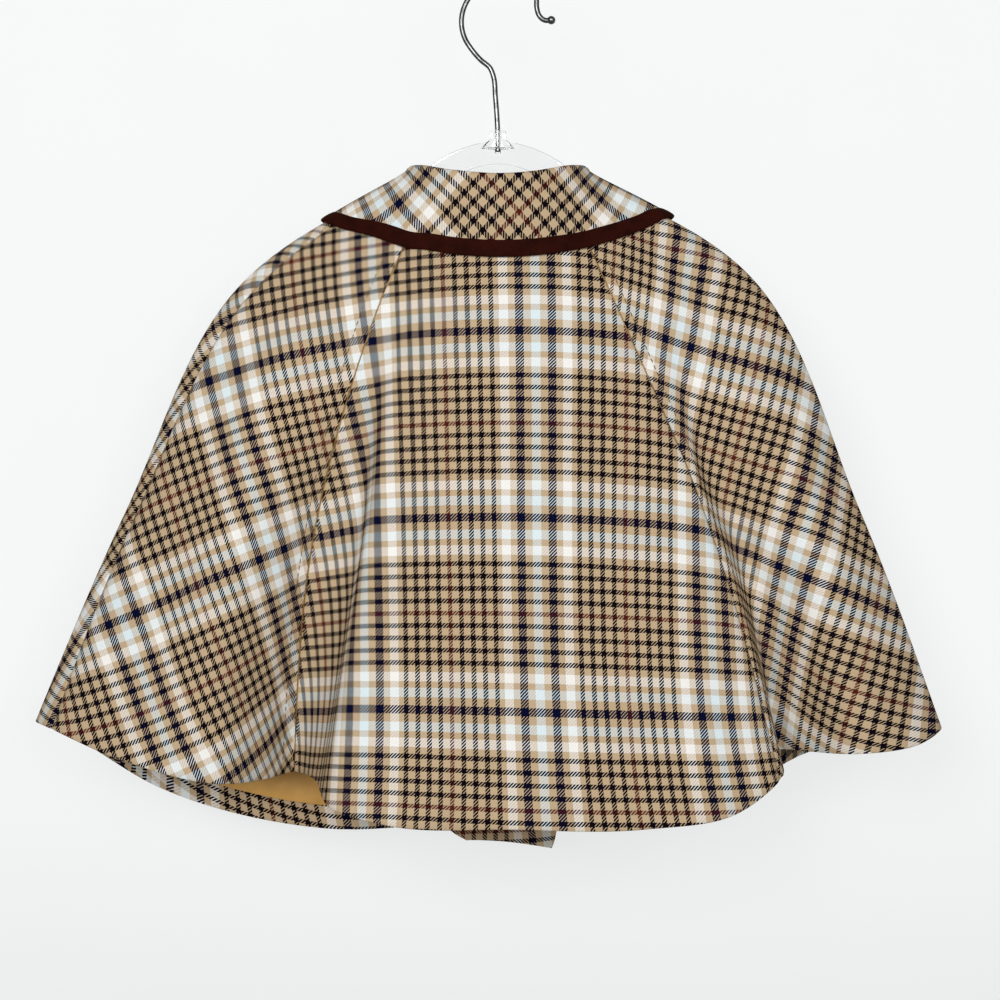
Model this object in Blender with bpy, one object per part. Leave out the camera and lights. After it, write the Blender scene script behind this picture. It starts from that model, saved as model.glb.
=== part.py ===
"""A child's lined plaid cape on a clear hanger with a wire hook.

Metres, +Z up. The origin is the inside top of the hook, where it rests on a rail.
The cape's back faces -Y and its front faces +Y.
"""

import math
from collections import namedtuple

import bmesh
import bpy
import numpy as np
from mathutils import Matrix, Vector

MM = 0.001

# Cloth sizes
WALL = 2.0 * MM
LINING_WALL = 0.9 * MM
SEAM_GAP = 0.3 * MM
LAYER_GAP = 0.35 * MM
ROWS = 15
LINING_ROWS = 14
SPAN_STEPS = 2

# Neck opening, an oval that is lower at the back and the front than at the sides
NECK_X = -3.0 * MM
NECK_HALF_WIDTH = 50.0 * MM
NECK_BACK = 34.0 * MM
NECK_FRONT = 30.0 * MM
NECK_SIDE_Z = -114.0 * MM
NECK_BACK_DIP = 24.0 * MM
NECK_FRONT_DIP = 27.0 * MM

# Collar
COLLAR_STEPS = 2
COLLAR_WALL = 2.0 * MM
COLLAR_LIFT = 0.9 * MM
COLLAR_ROLL = 1.9 * MM
COLLAR_ARCH = 1.8 * MM
COLLAR_END_GAP = 5.0 * MM
ROLL_STEPS = 3
FALL_STEPS = 4

# Velvet trim along the collar's edge
TRIM_WIDTH = 9.5 * MM
TRIM_WALL = 2.6 * MM
TRIM_ROWS = 4
TRIM_EDGE_SHARE = 0.45

# Front placket and buttons
PLACKET_HALF_WIDTH = 33.0 * MM
PLACKET_STEPS = 6
PLACKET_FIRST_ROW = 4
PLACKET_TAIL = 10.0 * MM
BUTTON_RADIUS = 9.0 * MM
BUTTON_HEIGHT = 3.2 * MM
BUTTON_BEVEL = 0.9 * MM
BUTTON_SIDES = 16
BUTTON_SHARES = (0.36, 0.56, 0.76)

# Hanger
HANGER_HALF_DEPTH = 4.5 * MM
HANGER_HEIGHT = 13.0 * MM
HANGER_CORNER = 0.55
HANGER_SIDES = 12
SOCKET_X = -3.0 * MM
SOCKET_RADIUS = 5.0 * MM
SOCKET_TOP = -86.0 * MM
SOCKET_BOTTOM = -100.0 * MM
SOCKET_BORE_FLOOR = -99.0 * MM
BORE_GAP = 0.3 * MM
WIRE_RADIUS = 1.5 * MM
WIRE_SIDES = 10
BALL_RADIUS = 2.4 * MM

# Hook
HOOK_RADIUS = WIRE_RADIUS + 22.6 * MM
HOOK_FIRST_DEG = 218.0
HOOK_LAST_DEG = 38.0
HOOK_STEPS = 18

# Each line runs from the neck over the cape to the hem, in millimetres. neck_deg is
# its place round the neck: 0 at the centre back, 180 at the centre front.
Line = namedtuple(
    "Line",
    "name neck_deg yoke_x yoke_y yoke_z mid_x mid_y mid_z hem_x hem_y hem_z",
)
LINES = [
    Line("front_centre", 180, -3, 34, -198, -3, 37, -336, -2, 38, -494),
    Line("front_left_mid", -136, -64, 25, -188, -115, 30, -330, -109, 34, -496),
    Line("front_left_side", -112, -110, 15, -166, -180, 22, -303, -204, 28, -472),
    Line("front_left_turn", -99, -139, 9, -170, -210, 9, -304, -253, 9, -441),
    Line("left_edge", -90, -149, -1, -172, -218, -3, -306, -269, -8, -427),
    Line("left_side_seam", -82, -140, -11, -175, -211, -15, -308, -257, -24, -429),
    Line("left_side_out", -75, -123, -17, -178, -185, -30, -313, -213, -40, -445),
    Line("left_side", -67, -104, -23, -180, -148, -41, -319, -158, -47, -457),
    Line("left_valley_out", -59, -84, -29, -186, -123, -36, -321, -134, -30, -458),
    Line("left_seam", -52, -71, -34, -193, -108, -30, -322, -121, -15, -457),
    Line("left_wall", -46, -63, -36, -196, -96, -36, -324, -107, -32, -458),
    Line("left_ridge", -39, -54, -38, -197, -84, -46, -325, -95, -57, -469),
    Line("back_left", -26, -37, -41, -199, -55, -53, -326, -65, -64, -477),
    Line("centre_back", 0, -2, -43, -200, 1, -57, -326, 4, -67, -479),
    Line("back_right", 26, 35, -41, -199, 62, -54, -326, 80, -65, -479),
    Line("right_ridge_in", 39, 53, -38, -197, 100, -50, -326, 128, -59, -472),
    Line("right_seam", 49, 66, -35, -195, 123, -42, -326, 156, -45, -455),
    Line("right_valley", 58, 80, -31, -191, 136, -31, -329, 157, -16, -445),
    Line("right_side_in", 65, 95, -26, -186, 149, -35, -325, 168, -24, -444),
    Line("right_side", 75, 111, -18, -178, 171, -34, -318, 198, -42, -441),
    Line("right_side_out", 82, 129, -12, -169, 198, -17, -309, 234, -33, -437),
    Line("right_edge", 91, 139, -1, -165, 207, -3, -306, 252, -10, -430),
    Line("front_right_turn", 100, 129, 10, -164, 198, 11, -303, 233, 11, -437),
    Line("front_right_side", 113, 108, 15, -164, 170, 22, -303, 184, 28, -448),
    Line("front_right_mid", 136, 61, 25, -186, 106, 30, -328, 112, 34, -493),
]

# Each panel runs from one line to another, counter-clockwise seen from above.
Panel = namedtuple("Panel", "name first last")
PANELS = [
    Panel("front_left", "front_centre", "left_side_seam"),
    Panel("side_back_left", "left_side_seam", "left_seam"),
    Panel("back", "left_seam", "right_seam"),
    Panel("side_back_right", "right_seam", "right_edge"),
    Panel("front_right", "right_edge", "front_centre"),
]

# The collar's stand and its fall, by place round the neck: stand in millimetres, and
# the share of the way down the cape where the collar's plaid ends.
CollarPlace = namedtuple("CollarPlace", "neck_deg stand edge_share")
COLLAR_PLACES = [
    CollarPlace(-180, 4.0, 0.200),
    CollarPlace(-135, 2.6, 0.185),
    CollarPlace(-90, 2.6, 0.138),
    CollarPlace(-45, 13.0, 0.120),
    CollarPlace(0, 20.5, 0.093),
    CollarPlace(45, 13.0, 0.115),
    CollarPlace(90, 2.6, 0.142),
    CollarPlace(135, 2.6, 0.185),
    CollarPlace(180, 4.0, 0.200),
]

# The hanger's top edge, in millimetres, from the left shoulder end to the right one.
HangerPlace = namedtuple("HangerPlace", "x z")
HANGER_TOP = [
    HangerPlace(-138, -178),
    HangerPlace(-126, -170),
    HangerPlace(-108, -159),
    HangerPlace(-86, -146),
    HangerPlace(-66, -133),
    HangerPlace(-54, -122),
    HangerPlace(-43, -107),
    HangerPlace(-26, -97),
    HangerPlace(-3, -92),
    HangerPlace(20, -97),
    HangerPlace(37, -107),
    HangerPlace(48, -122),
    HangerPlace(60, -132),
    HangerPlace(80, -144),
    HangerPlace(103, -156),
    HangerPlace(121, -167),
    HangerPlace(131, -175),
]

# The wire from the socket up to the hook's round, in millimetres.
WirePlace = namedtuple("WirePlace", "x z")
WIRE_SHANK = [
    WirePlace(-3.0, -98.0),
    WirePlace(-3.2, -84.0),
    WirePlace(-4.4, -66.0),
    WirePlace(-5.6, -54.0),
    WirePlace(-7.4, -49.5),
    WirePlace(-13.0, -44.6),
]
# The wire from the round's end out to the ball.
WIRE_TIP = [
    WirePlace(19.6, -14.4),
    WirePlace(20.8, -18.6),
    WirePlace(23.6, -21.4),
    WirePlace(28.0, -21.6),
]

# Finishes: base colour, roughness and whether the stuff is metal or clear
Finish = namedtuple("Finish", "name colour roughness metallic transmission")
PLAID = Finish("plaid twill", (0.55, 0.42, 0.26), 0.85, 0.0, 0.0)
SATIN = Finish("lining satin", (0.52, 0.29, 0.08), 0.45, 0.0, 0.0)
VELVET = Finish("trim velvet", (0.06, 0.012, 0.006), 0.8, 0.0, 0.0)
HORN = Finish("button", (0.08, 0.03, 0.015), 0.35, 0.0, 0.0)
CLEAR = Finish("clear plastic", (0.95, 0.96, 0.96), 0.08, 0.0, 1.0)
STEEL = Finish("steel wire", (0.55, 0.56, 0.57), 0.28, 1.0, 0.0)

LINE_AT = {line.name: i for i, line in enumerate(LINES)}
EPS = 1e-4


def clear_scene():
    """Removes everything that the new file starts with."""
    for obj in list(bpy.data.objects):
        bpy.data.objects.remove(obj, do_unlink=True)


def smooth_through(points, knots, at, steps=None):
    """A smooth curve through points, whose first axis runs along knots, read at each value of at.

    steps gives the way between neighbours for each column, where it differs from the knots'.
    """
    shape = (-1,) + (1,) * (points.ndim - 1)
    spans = np.diff(knots)
    steps = spans.reshape(shape) if steps is None else steps
    slopes = np.diff(points, axis=0) / steps
    before = steps[:-1]
    after = steps[1:]
    inner = (slopes[:-1] * after + slopes[1:] * before) / (before + after)
    tangents = np.concatenate([slopes[:1] * 1.5 - inner[:1] * 0.5, inner, slopes[-1:] * 1.5 - inner[-1:] * 0.5])
    at = np.asarray(at, float)
    i = np.clip(np.searchsorted(knots, at, side="right") - 1, 0, len(spans) - 1)
    h = steps[i]
    u = ((at - knots[i]) / spans[i]).reshape(shape)
    start = points[i] * (1 + 2 * u) * (1 - u) ** 2 + tangents[i] * h * u * (1 - u) ** 2
    end = points[i + 1] * u**2 * (3 - 2 * u) - tangents[i + 1] * h * u**2 * (1 - u)
    return start + end


def neck_point(degrees):
    """The place on the neck opening's edge at this angle."""
    angle = math.radians(degrees)
    back = math.cos(angle) > 0
    depth = NECK_BACK if back else NECK_FRONT
    dip = NECK_BACK_DIP if back else NECK_FRONT_DIP
    x = NECK_X + NECK_HALF_WIDTH * math.sin(angle)
    return x, -depth * math.cos(angle), NECK_SIDE_Z - dip * math.cos(angle) ** 2


def line_points(line):
    """The four places that a line goes through, from the neck to the hem, in metres."""
    below = [
        (line.yoke_x, line.yoke_y, line.yoke_z),
        (line.mid_x, line.mid_y, line.mid_z),
        (line.hem_x, line.hem_y, line.hem_z),
    ]
    return np.array([neck_point(line.neck_deg)] + [[MM * v for v in point] for point in below])


def line_knots():
    """How far round the cape each line lies, and the whole way round, in metres."""
    lower = np.array([line_points(line)[2:] for line in LINES])
    round_trip = np.concatenate([lower, lower[:1]])
    steps = np.linalg.norm(np.diff(round_trip, axis=0), axis=2).mean(axis=1)
    return np.concatenate([[0.0], np.cumsum(steps)])


KNOTS = line_knots()
AROUND = KNOTS[-1]
CONTROL = np.array([line_points(line) for line in LINES])
SHARES = np.linspace(0.0, 1.0, CONTROL.shape[1])
REACHES = np.linalg.norm(np.diff(CONTROL.swapaxes(0, 1), axis=0), axis=2, keepdims=True)


def cape_points(around, down):
    """Places on the cape's outer face, as a grid: around in metres from the centre front, down from 0 at the neck to 1."""
    lines = smooth_through(CONTROL.swapaxes(0, 1), SHARES, down, REACHES).swapaxes(0, 1)
    looped = np.concatenate([lines[-2:], lines, lines[:3]])
    knots = np.concatenate([KNOTS[-3:-1] - AROUND, KNOTS, KNOTS[1:3] + AROUND])
    steps = np.linalg.norm(np.diff(looped, axis=0), axis=2, keepdims=True)
    return smooth_through(looped, knots, around, steps)


def unit(vectors):
    """The vectors made one long."""
    return vectors / np.linalg.norm(vectors, axis=-1, keepdims=True)


def cape_slopes(around, down):
    """The directions around and down the cape's face at each place of a grid."""
    around = np.asarray(around, float)
    down = np.asarray(down, float)
    along = cape_points(around + EPS, down) - cape_points(around - EPS, down)
    fall = cape_points(around, down + EPS) - cape_points(around, down - EPS)
    return along / (2 * EPS), fall / (2 * EPS)


def cape_normals(around, down):
    """The outward direction at each place of a grid."""
    along, fall = cape_slopes(around, down)
    return unit(np.cross(fall, along))


def columns_between(first, last, steps):
    """Places around the cape from one line to another, with each span between lines cut into steps."""
    i = LINE_AT[first]
    j = LINE_AT[last] or len(LINES)
    parts = [np.linspace(KNOTS[k], KNOTS[k + 1], steps, endpoint=False) for k in range(i, j)]
    return np.concatenate(parts + [KNOTS[j : j + 1]])


def material(finish):
    """A plain Principled material for a finish."""
    made = bpy.data.materials.new(finish.name)
    made.use_nodes = True
    shader = made.node_tree.nodes["Principled BSDF"]
    shader.inputs["Base Color"].default_value = (*finish.colour, 1.0)
    shader.inputs["Roughness"].default_value = finish.roughness
    shader.inputs["Metallic"].default_value = finish.metallic
    shader.inputs["Transmission Weight"].default_value = finish.transmission
    return made


def add_object(name, points, faces, finish):
    """A mesh object with its faces turned outward."""
    mesh = bpy.data.meshes.new(name)
    mesh.from_pydata([tuple(p) for p in points], [], faces)
    work = bmesh.new()
    work.from_mesh(mesh)
    bmesh.ops.recalc_face_normals(work, faces=work.faces)
    work.to_mesh(mesh)
    work.free()
    mesh.materials.append(material(finish))
    obj = bpy.data.objects.new(name, mesh)
    bpy.context.scene.collection.objects.link(obj)
    return obj


def add_wall(name, outer, inner, finish):
    """A closed wall between two grids of the same shape."""
    wide, long = outer.shape[:2]
    points = np.concatenate([outer.reshape(-1, 3), inner.reshape(-1, 3)])
    back = wide * long

    def at(i, j):
        return i * long + j

    faces = []
    for i in range(wide - 1):
        for j in range(long - 1):
            quad = [at(i, j), at(i, j + 1), at(i + 1, j + 1), at(i + 1, j)]
            faces.append(quad)
            faces.append([back + v for v in (quad[0], quad[3], quad[2], quad[1])])
    rim = [at(i, 0) for i in range(wide)]
    rim += [at(wide - 1, j) for j in range(1, long)]
    rim += [at(i, long - 1) for i in range(wide - 2, -1, -1)]
    rim += [at(0, j) for j in range(long - 2, 0, -1)]
    for a, b in zip(rim, rim[1:] + rim[:1]):
        faces.append([a, b, back + b, back + a])
    return add_object(name, points, faces, finish)


def panel_faces(panel, rows, outside, inside):
    """Two grids for one panel, at these depths under the cape's outer face, with half a seam gap at each side."""
    around = columns_between(panel.first, panel.last, SPAN_STEPS)
    down = np.linspace(0.0, 1.0, ROWS + 1)[: rows + 1]
    points = cape_points(around, down)
    along, _ = cape_slopes(around, down)
    normals = cape_normals(around, down)
    points[0] += unit(along[0]) * SEAM_GAP / 2
    points[-1] -= unit(along[-1]) * SEAM_GAP / 2
    return points - normals * outside, points - normals * inside


def add_panels():
    """The five cloth panels and the lining under each."""
    under = WALL + LAYER_GAP
    for panel in PANELS:
        add_wall(panel.name, *panel_faces(panel, ROWS, 0.0, WALL), PLAID)
        add_wall(f"lining_{panel.name}", *panel_faces(panel, LINING_ROWS, under, under + LINING_WALL), SATIN)


def grid_normals(grid):
    """The directions square to a grid, on the side that the cape's normals take."""
    along = np.gradient(grid, axis=0)
    fall = np.gradient(grid, axis=1)
    return unit(np.cross(fall, along))


def collar_columns():
    """Places around the cape for the collar, open at the centre front."""
    whole = columns_between("front_centre", "front_centre", COLLAR_STEPS)
    whole[0] += COLLAR_END_GAP
    whole[-1] -= COLLAR_END_GAP
    return whole


def collar_values(around):
    """The stand's height and the share down the cape of the collar's edge at each place."""
    degrees = np.array([line.neck_deg % 360 for line in LINES] + [180.0])
    degrees[0] = 180.0
    turned = np.where(degrees < 180, degrees + 360, degrees)
    turned[-1] = 540.0
    place = np.interp(around, KNOTS, turned) - 360
    table = np.array(COLLAR_PLACES, float)
    read = smooth_through(table[:, 1:], table[:, 0], place)
    return read[:, 0] * MM, read[:, 1]


def share_of(around, share, length):
    """The shares down the cape that lie this far below given shares."""
    moved = np.array([np.linalg.norm(cape_slopes([a], [s])[1][0, 0]) for a, s in zip(around, share)])
    return share + length / moved


def cape_at(around, shares):
    """One place and its outward direction for each pair of values."""
    points = np.array([cape_points([a], [s])[0, 0] for a, s in zip(around, shares)])
    normals = np.array([cape_normals([a], [s])[0, 0] for a, s in zip(around, shares)])
    return points, normals


def collar_middle(around):
    """The middle of the collar's wall as a grid, from the stand's foot over the roll to the plaid's edge."""
    stand, edge = collar_values(around)
    foot, normals = cape_at(around, np.full(len(around), 0.0))
    out = normals * [1, 1, 0]
    out = unit(out)
    up = np.array([0.0, 0.0, 1.0])
    half = COLLAR_WALL / 2
    height = stand[:, None] * up
    rows = [foot - out * half + up * (SEAM_GAP + 0.1 * MM), foot - out * half + height]
    centre = foot + out * (COLLAR_ROLL - half) + height
    for k in range(1, ROLL_STEPS + 1):
        turn = math.pi * k / (ROLL_STEPS + 1)
        rows.append(centre - out * COLLAR_ROLL * math.cos(turn) + up * COLLAR_ROLL * math.sin(turn))
    start = centre + out * COLLAR_ROLL
    end, end_normals = cape_at(around, edge)
    end = end + end_normals * (COLLAR_LIFT + half)
    middle, middle_normals = cape_at(around, edge * 0.5)
    bend = middle + middle_normals * (COLLAR_LIFT + half + COLLAR_ARCH)
    for k in range(FALL_STEPS + 1):
        u = k / FALL_STEPS
        rows.append(start * (1 - u) ** 2 + bend * 2 * u * (1 - u) + end * u**2)
    return np.stack(rows, axis=1)


def add_collar():
    """The collar, and the velvet trim that carries on from its edge."""
    around = collar_columns()
    middle = collar_middle(around)
    normals = grid_normals(middle)
    half = COLLAR_WALL / 2
    add_wall("collar", middle + normals * half, middle - normals * half, PLAID)
    _, edge = collar_values(around)
    outer = []
    inner = []
    for k in range(TRIM_ROWS + 1):
        u = k / TRIM_ROWS
        shares = share_of(around, edge, SEAM_GAP + u * TRIM_WIDTH)
        points, out = cape_at(around, shares)
        round_share = TRIM_EDGE_SHARE + (1 - TRIM_EDGE_SHARE) * math.sin(math.pi * u) ** 0.5
        thick = TRIM_WALL * round_share
        outer.append(points + out * (COLLAR_LIFT + TRIM_WALL / 2 + thick / 2))
        inner.append(points + out * (COLLAR_LIFT + TRIM_WALL / 2 - thick / 2))
    add_wall("collar_trim", np.stack(outer, axis=1), np.stack(inner, axis=1), VELVET)


def add_placket():
    """The band over the front opening, with its buttons."""
    around = np.linspace(-PLACKET_HALF_WIDTH, PLACKET_HALF_WIDTH, PLACKET_STEPS + 1)
    down = np.linspace(0.0, 1.0, ROWS + 1)[PLACKET_FIRST_ROW:]
    points = cape_points(around, down)
    _, fall = cape_slopes(around, down)
    normals = cape_normals(around, down)
    tail = points[:, -1:] + unit(fall[:, -1:]) * PLACKET_TAIL
    points = np.concatenate([points, tail], axis=1)
    normals = np.concatenate([normals, normals[:, -1:]], axis=1)
    lift = LAYER_GAP * 2
    add_wall("front_placket", points + normals * (lift + WALL), points + normals * lift, PLAID)
    for k, share in enumerate(BUTTON_SHARES):
        place, out = cape_at([0.0], [share])
        foot = place[0] + out[0] * (lift + WALL + LAYER_GAP * 2)
        add_button(f"button_{k + 1}", foot, out[0])


def add_button(name, foot, out):
    """A plain round button with softened edges, standing on foot."""
    work = bmesh.new()
    turn = Vector((0, 0, 1)).rotation_difference(Vector(out)).to_matrix().to_4x4()
    centre = Vector(foot) + Vector(out) * BUTTON_HEIGHT / 2
    bmesh.ops.create_cone(
        work,
        cap_ends=True,
        segments=BUTTON_SIDES,
        radius1=BUTTON_RADIUS,
        radius2=BUTTON_RADIUS,
        depth=BUTTON_HEIGHT,
        matrix=Matrix.Translation(centre) @ turn,
    )
    rims = [e for e in work.edges if len(e.link_faces) == 2 and max(len(f.verts) for f in e.link_faces) > 4]
    bmesh.ops.bevel(work, geom=rims, offset=BUTTON_BEVEL, segments=2, affect="EDGES", profile=0.5)
    mesh = bpy.data.meshes.new(name)
    work.to_mesh(mesh)
    work.free()
    mesh.materials.append(material(HORN))
    obj = bpy.data.objects.new(name, mesh)
    bpy.context.scene.collection.objects.link(obj)


def swept(path, section):
    """Points and faces of a bar: section gives, for each place, a ring of points; its ends are closed."""
    rings = [section(i) for i in range(len(path))]
    sides = len(rings[0])
    points = [p for ring in rings for p in ring]
    faces = []
    for i in range(len(path) - 1):
        for k in range(sides):
            n = (k + 1) % sides
            faces.append([i * sides + k, i * sides + n, (i + 1) * sides + n, (i + 1) * sides + k])
    faces.append(list(range(sides)))
    faces.append([(len(path) - 1) * sides + k for k in range(sides)])
    return points, faces


def add_hanger():
    """The clear body: a bar with rounded edges along the top line, and a socket for the wire."""
    table = np.array(HANGER_TOP, float) * MM
    along = np.arange(len(table), dtype=float)
    top = smooth_through(table, along, np.linspace(0, along[-1], 2 * len(table)))
    heading = unit(np.gradient(top, axis=0))
    below = np.stack([heading[:, 1], -heading[:, 0]], axis=1)

    def section(i):
        ring = []
        centre = top[i] + below[i] * HANGER_HEIGHT / 2
        for k in range(HANGER_SIDES):
            angle = 2 * math.pi * (k + 0.5) / HANGER_SIDES
            across = math.copysign(abs(math.cos(angle)) ** HANGER_CORNER, math.cos(angle))
            up = math.copysign(abs(math.sin(angle)) ** HANGER_CORNER, math.sin(angle))
            place = centre - below[i] * up * HANGER_HEIGHT / 2
            ring.append((place[0], across * HANGER_HALF_DEPTH, place[1]))
        return ring

    body = add_object("hanger_body", *swept(top, section), CLEAR)
    socket = cylinder("socket", SOCKET_RADIUS, SOCKET_TOP, SOCKET_BOTTOM)
    bore = cylinder("bore", WIRE_RADIUS + BORE_GAP, SOCKET_TOP + 1 * MM, SOCKET_BORE_FLOOR)
    for other, operation in ((socket, "UNION"), (bore, "DIFFERENCE")):
        joined = body.modifiers.new(other.name, "BOOLEAN")
        joined.operation = operation
        joined.solver = "EXACT"
        joined.object = other
        bpy.context.view_layer.objects.active = body
        bpy.ops.object.modifier_apply(modifier=joined.name)
        bpy.data.objects.remove(other, do_unlink=True)


def cylinder(name, radius, top, bottom):
    """An upright round bar at the socket's place."""
    work = bmesh.new()
    bmesh.ops.create_cone(
        work,
        cap_ends=True,
        segments=20,
        radius1=radius,
        radius2=radius,
        depth=top - bottom,
        matrix=Matrix.Translation((SOCKET_X, 0, (top + bottom) / 2)),
    )
    mesh = bpy.data.meshes.new(name)
    work.to_mesh(mesh)
    work.free()
    obj = bpy.data.objects.new(name, mesh)
    bpy.context.scene.collection.objects.link(obj)
    return obj


def hook_path():
    """The wire's centre line: up from the socket, round the hook and out to the tip."""
    centre_z = WIRE_RADIUS - HOOK_RADIUS
    shank = [(p.x * MM, p.z * MM) for p in WIRE_SHANK]
    turns = np.radians(np.linspace(HOOK_FIRST_DEG, HOOK_LAST_DEG, HOOK_STEPS))
    arc = [(HOOK_RADIUS * math.cos(a), centre_z + HOOK_RADIUS * math.sin(a)) for a in turns]
    tip = [(p.x * MM, p.z * MM) for p in WIRE_TIP]
    return np.array(shank + arc + tip)


def add_hook():
    """The bent wire with a ball on its end."""
    path = hook_path()
    heading = unit(np.gradient(path, axis=0))
    side = np.stack([-heading[:, 1], heading[:, 0]], axis=1)

    def section(i):
        ring = []
        for k in range(WIRE_SIDES):
            angle = 2 * math.pi * k / WIRE_SIDES
            place = path[i] + side[i] * WIRE_RADIUS * math.cos(angle)
            ring.append((place[0], WIRE_RADIUS * math.sin(angle), place[1]))
        return ring

    hook = add_object("hanger_hook", *swept(path, section), STEEL)
    work = bmesh.new()
    ball_at = Matrix.Translation((path[-1][0], 0, path[-1][1]))
    bmesh.ops.create_uvsphere(work, u_segments=14, v_segments=9, radius=BALL_RADIUS, matrix=ball_at)
    mesh = bpy.data.meshes.new("ball")
    work.to_mesh(mesh)
    work.free()
    ball = bpy.data.objects.new("ball", mesh)
    bpy.context.scene.collection.objects.link(ball)
    joined = hook.modifiers.new("ball", "BOOLEAN")
    joined.operation = "UNION"
    joined.solver = "EXACT"
    joined.object = ball
    bpy.context.view_layer.objects.active = hook
    bpy.ops.object.modifier_apply(modifier=joined.name)
    bpy.data.objects.remove(ball, do_unlink=True)


clear_scene()
add_panels()
add_collar()
add_placket()
add_hanger()
add_hook()
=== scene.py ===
"""Looks of a child's lined plaid cape on a clear hanger with a steel wire hook.

Metres, +Z up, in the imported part's frame. The origin is the inside top of the hook,
the cape's back faces -Y and its front faces +Y.
"""

import logging
import math
from dataclasses import dataclass, field
from enum import Enum
from typing import Callable, NamedTuple

import bpy
import numpy as np
from mathutils import Matrix, Vector


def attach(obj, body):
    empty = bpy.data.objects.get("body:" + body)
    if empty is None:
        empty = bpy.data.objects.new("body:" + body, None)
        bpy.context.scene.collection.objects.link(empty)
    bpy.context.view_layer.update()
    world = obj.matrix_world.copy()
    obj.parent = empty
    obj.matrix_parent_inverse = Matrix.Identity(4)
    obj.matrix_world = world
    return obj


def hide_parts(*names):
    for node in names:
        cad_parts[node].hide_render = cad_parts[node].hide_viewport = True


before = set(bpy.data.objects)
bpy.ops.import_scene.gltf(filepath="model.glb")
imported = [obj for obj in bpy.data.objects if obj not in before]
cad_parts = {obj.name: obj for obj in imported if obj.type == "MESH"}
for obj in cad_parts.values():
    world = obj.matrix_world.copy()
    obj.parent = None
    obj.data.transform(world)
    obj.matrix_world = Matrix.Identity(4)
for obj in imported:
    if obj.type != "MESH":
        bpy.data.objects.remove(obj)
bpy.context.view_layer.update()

MM = 0.001
BODY = "root"
WEAVE_MAP = "Weave"
HALF_TURN_DEG = 180.0
TINY = 1e-12
COLOUR_MIX_INPUTS = (0, 6, 7)
COLOUR_MIX_RESULT = 2

log = logging.getLogger("cape")

Grid = np.ndarray
Colour = tuple[float, float, float]
Place = tuple[float, float, float]


class Side(Enum):
    """Which way a stretch of the cape faces, as the sign of its outward Y."""

    BACK = -1.0
    FRONT = 1.0


class Held(Enum):
    """How a sheet of cloth is held."""

    HUNG = "hung"
    FOLDED = "folded"
    LAID = "laid"


class Pick(Enum):
    """What is picked in edit mode."""

    FACE = "FACE"
    EDGE = "EDGE"


class Slot(Enum):
    """The record's material slots."""

    PLAID = "plaid_twill"
    LINING = "lining_satin"
    TRIM = "trim_velvet"
    BUTTON = "button"
    CLEAR = "clear_plastic"
    WIRE = "steel_wire"


class Yarn(Enum):
    """The yarns of the check, as linear colours."""

    TAN = (0.540, 0.400, 0.248)
    WHITE = (0.920, 0.895, 0.850)
    BLUE = (0.735, 0.840, 0.870)
    NAVY = (0.0022, 0.0034, 0.0230)
    DARK = (0.0040, 0.0020, 0.0050)
    RUST = (0.085, 0.013, 0.008)


class Line(NamedTuple):
    """A line from the neck to the hem, in millimetres; neck_deg is 0 at the centre back."""

    name: str
    neck_deg: float
    yoke: Place
    mid: Place
    hem: Place


class Way(NamedTuple):
    across: float
    up: float
    start: float
    bow_across: float = 0.0
    bow_up: float = 0.0
    skew: float = 0.0


class Panel(NamedTuple):
    """One cut piece between two lines, and how the check's warp and weft lie on it."""

    name: str
    first: str
    last: str
    warp: Way
    weft: Way


class Cut(NamedTuple):
    """A sheet's flat size as it was cut, in metres, and its area in square metres."""

    width: float
    length: float
    area: float


class CollarPlace(NamedTuple):
    """The collar at one place round the neck: its stand in millimetres, and its edge down the cape."""

    neck_deg: float
    stand: float
    edge_share: float


class Crease(NamedTuple):
    """A soft trough or ridge between two places, in millimetres; outward is positive."""

    side: Side
    x0: float
    z0: float
    x1: float
    z1: float
    width: float
    depth: float


class Stripe(NamedTuple):
    """A stripe by its middle and width, in millimetres from the middle of the repeat."""

    middle: float
    width: float
    yarn: Yarn


class StitchRun(NamedTuple):
    """A row of stitches beside a line: how far it lies from it, and its shares down the cape."""

    name: str
    line: str
    offset_mm: float
    first_share: float
    last_share: float


class FlatPlace(NamedTuple):
    """A place in the hanger's plane, in millimetres."""

    x: float
    z: float


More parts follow.
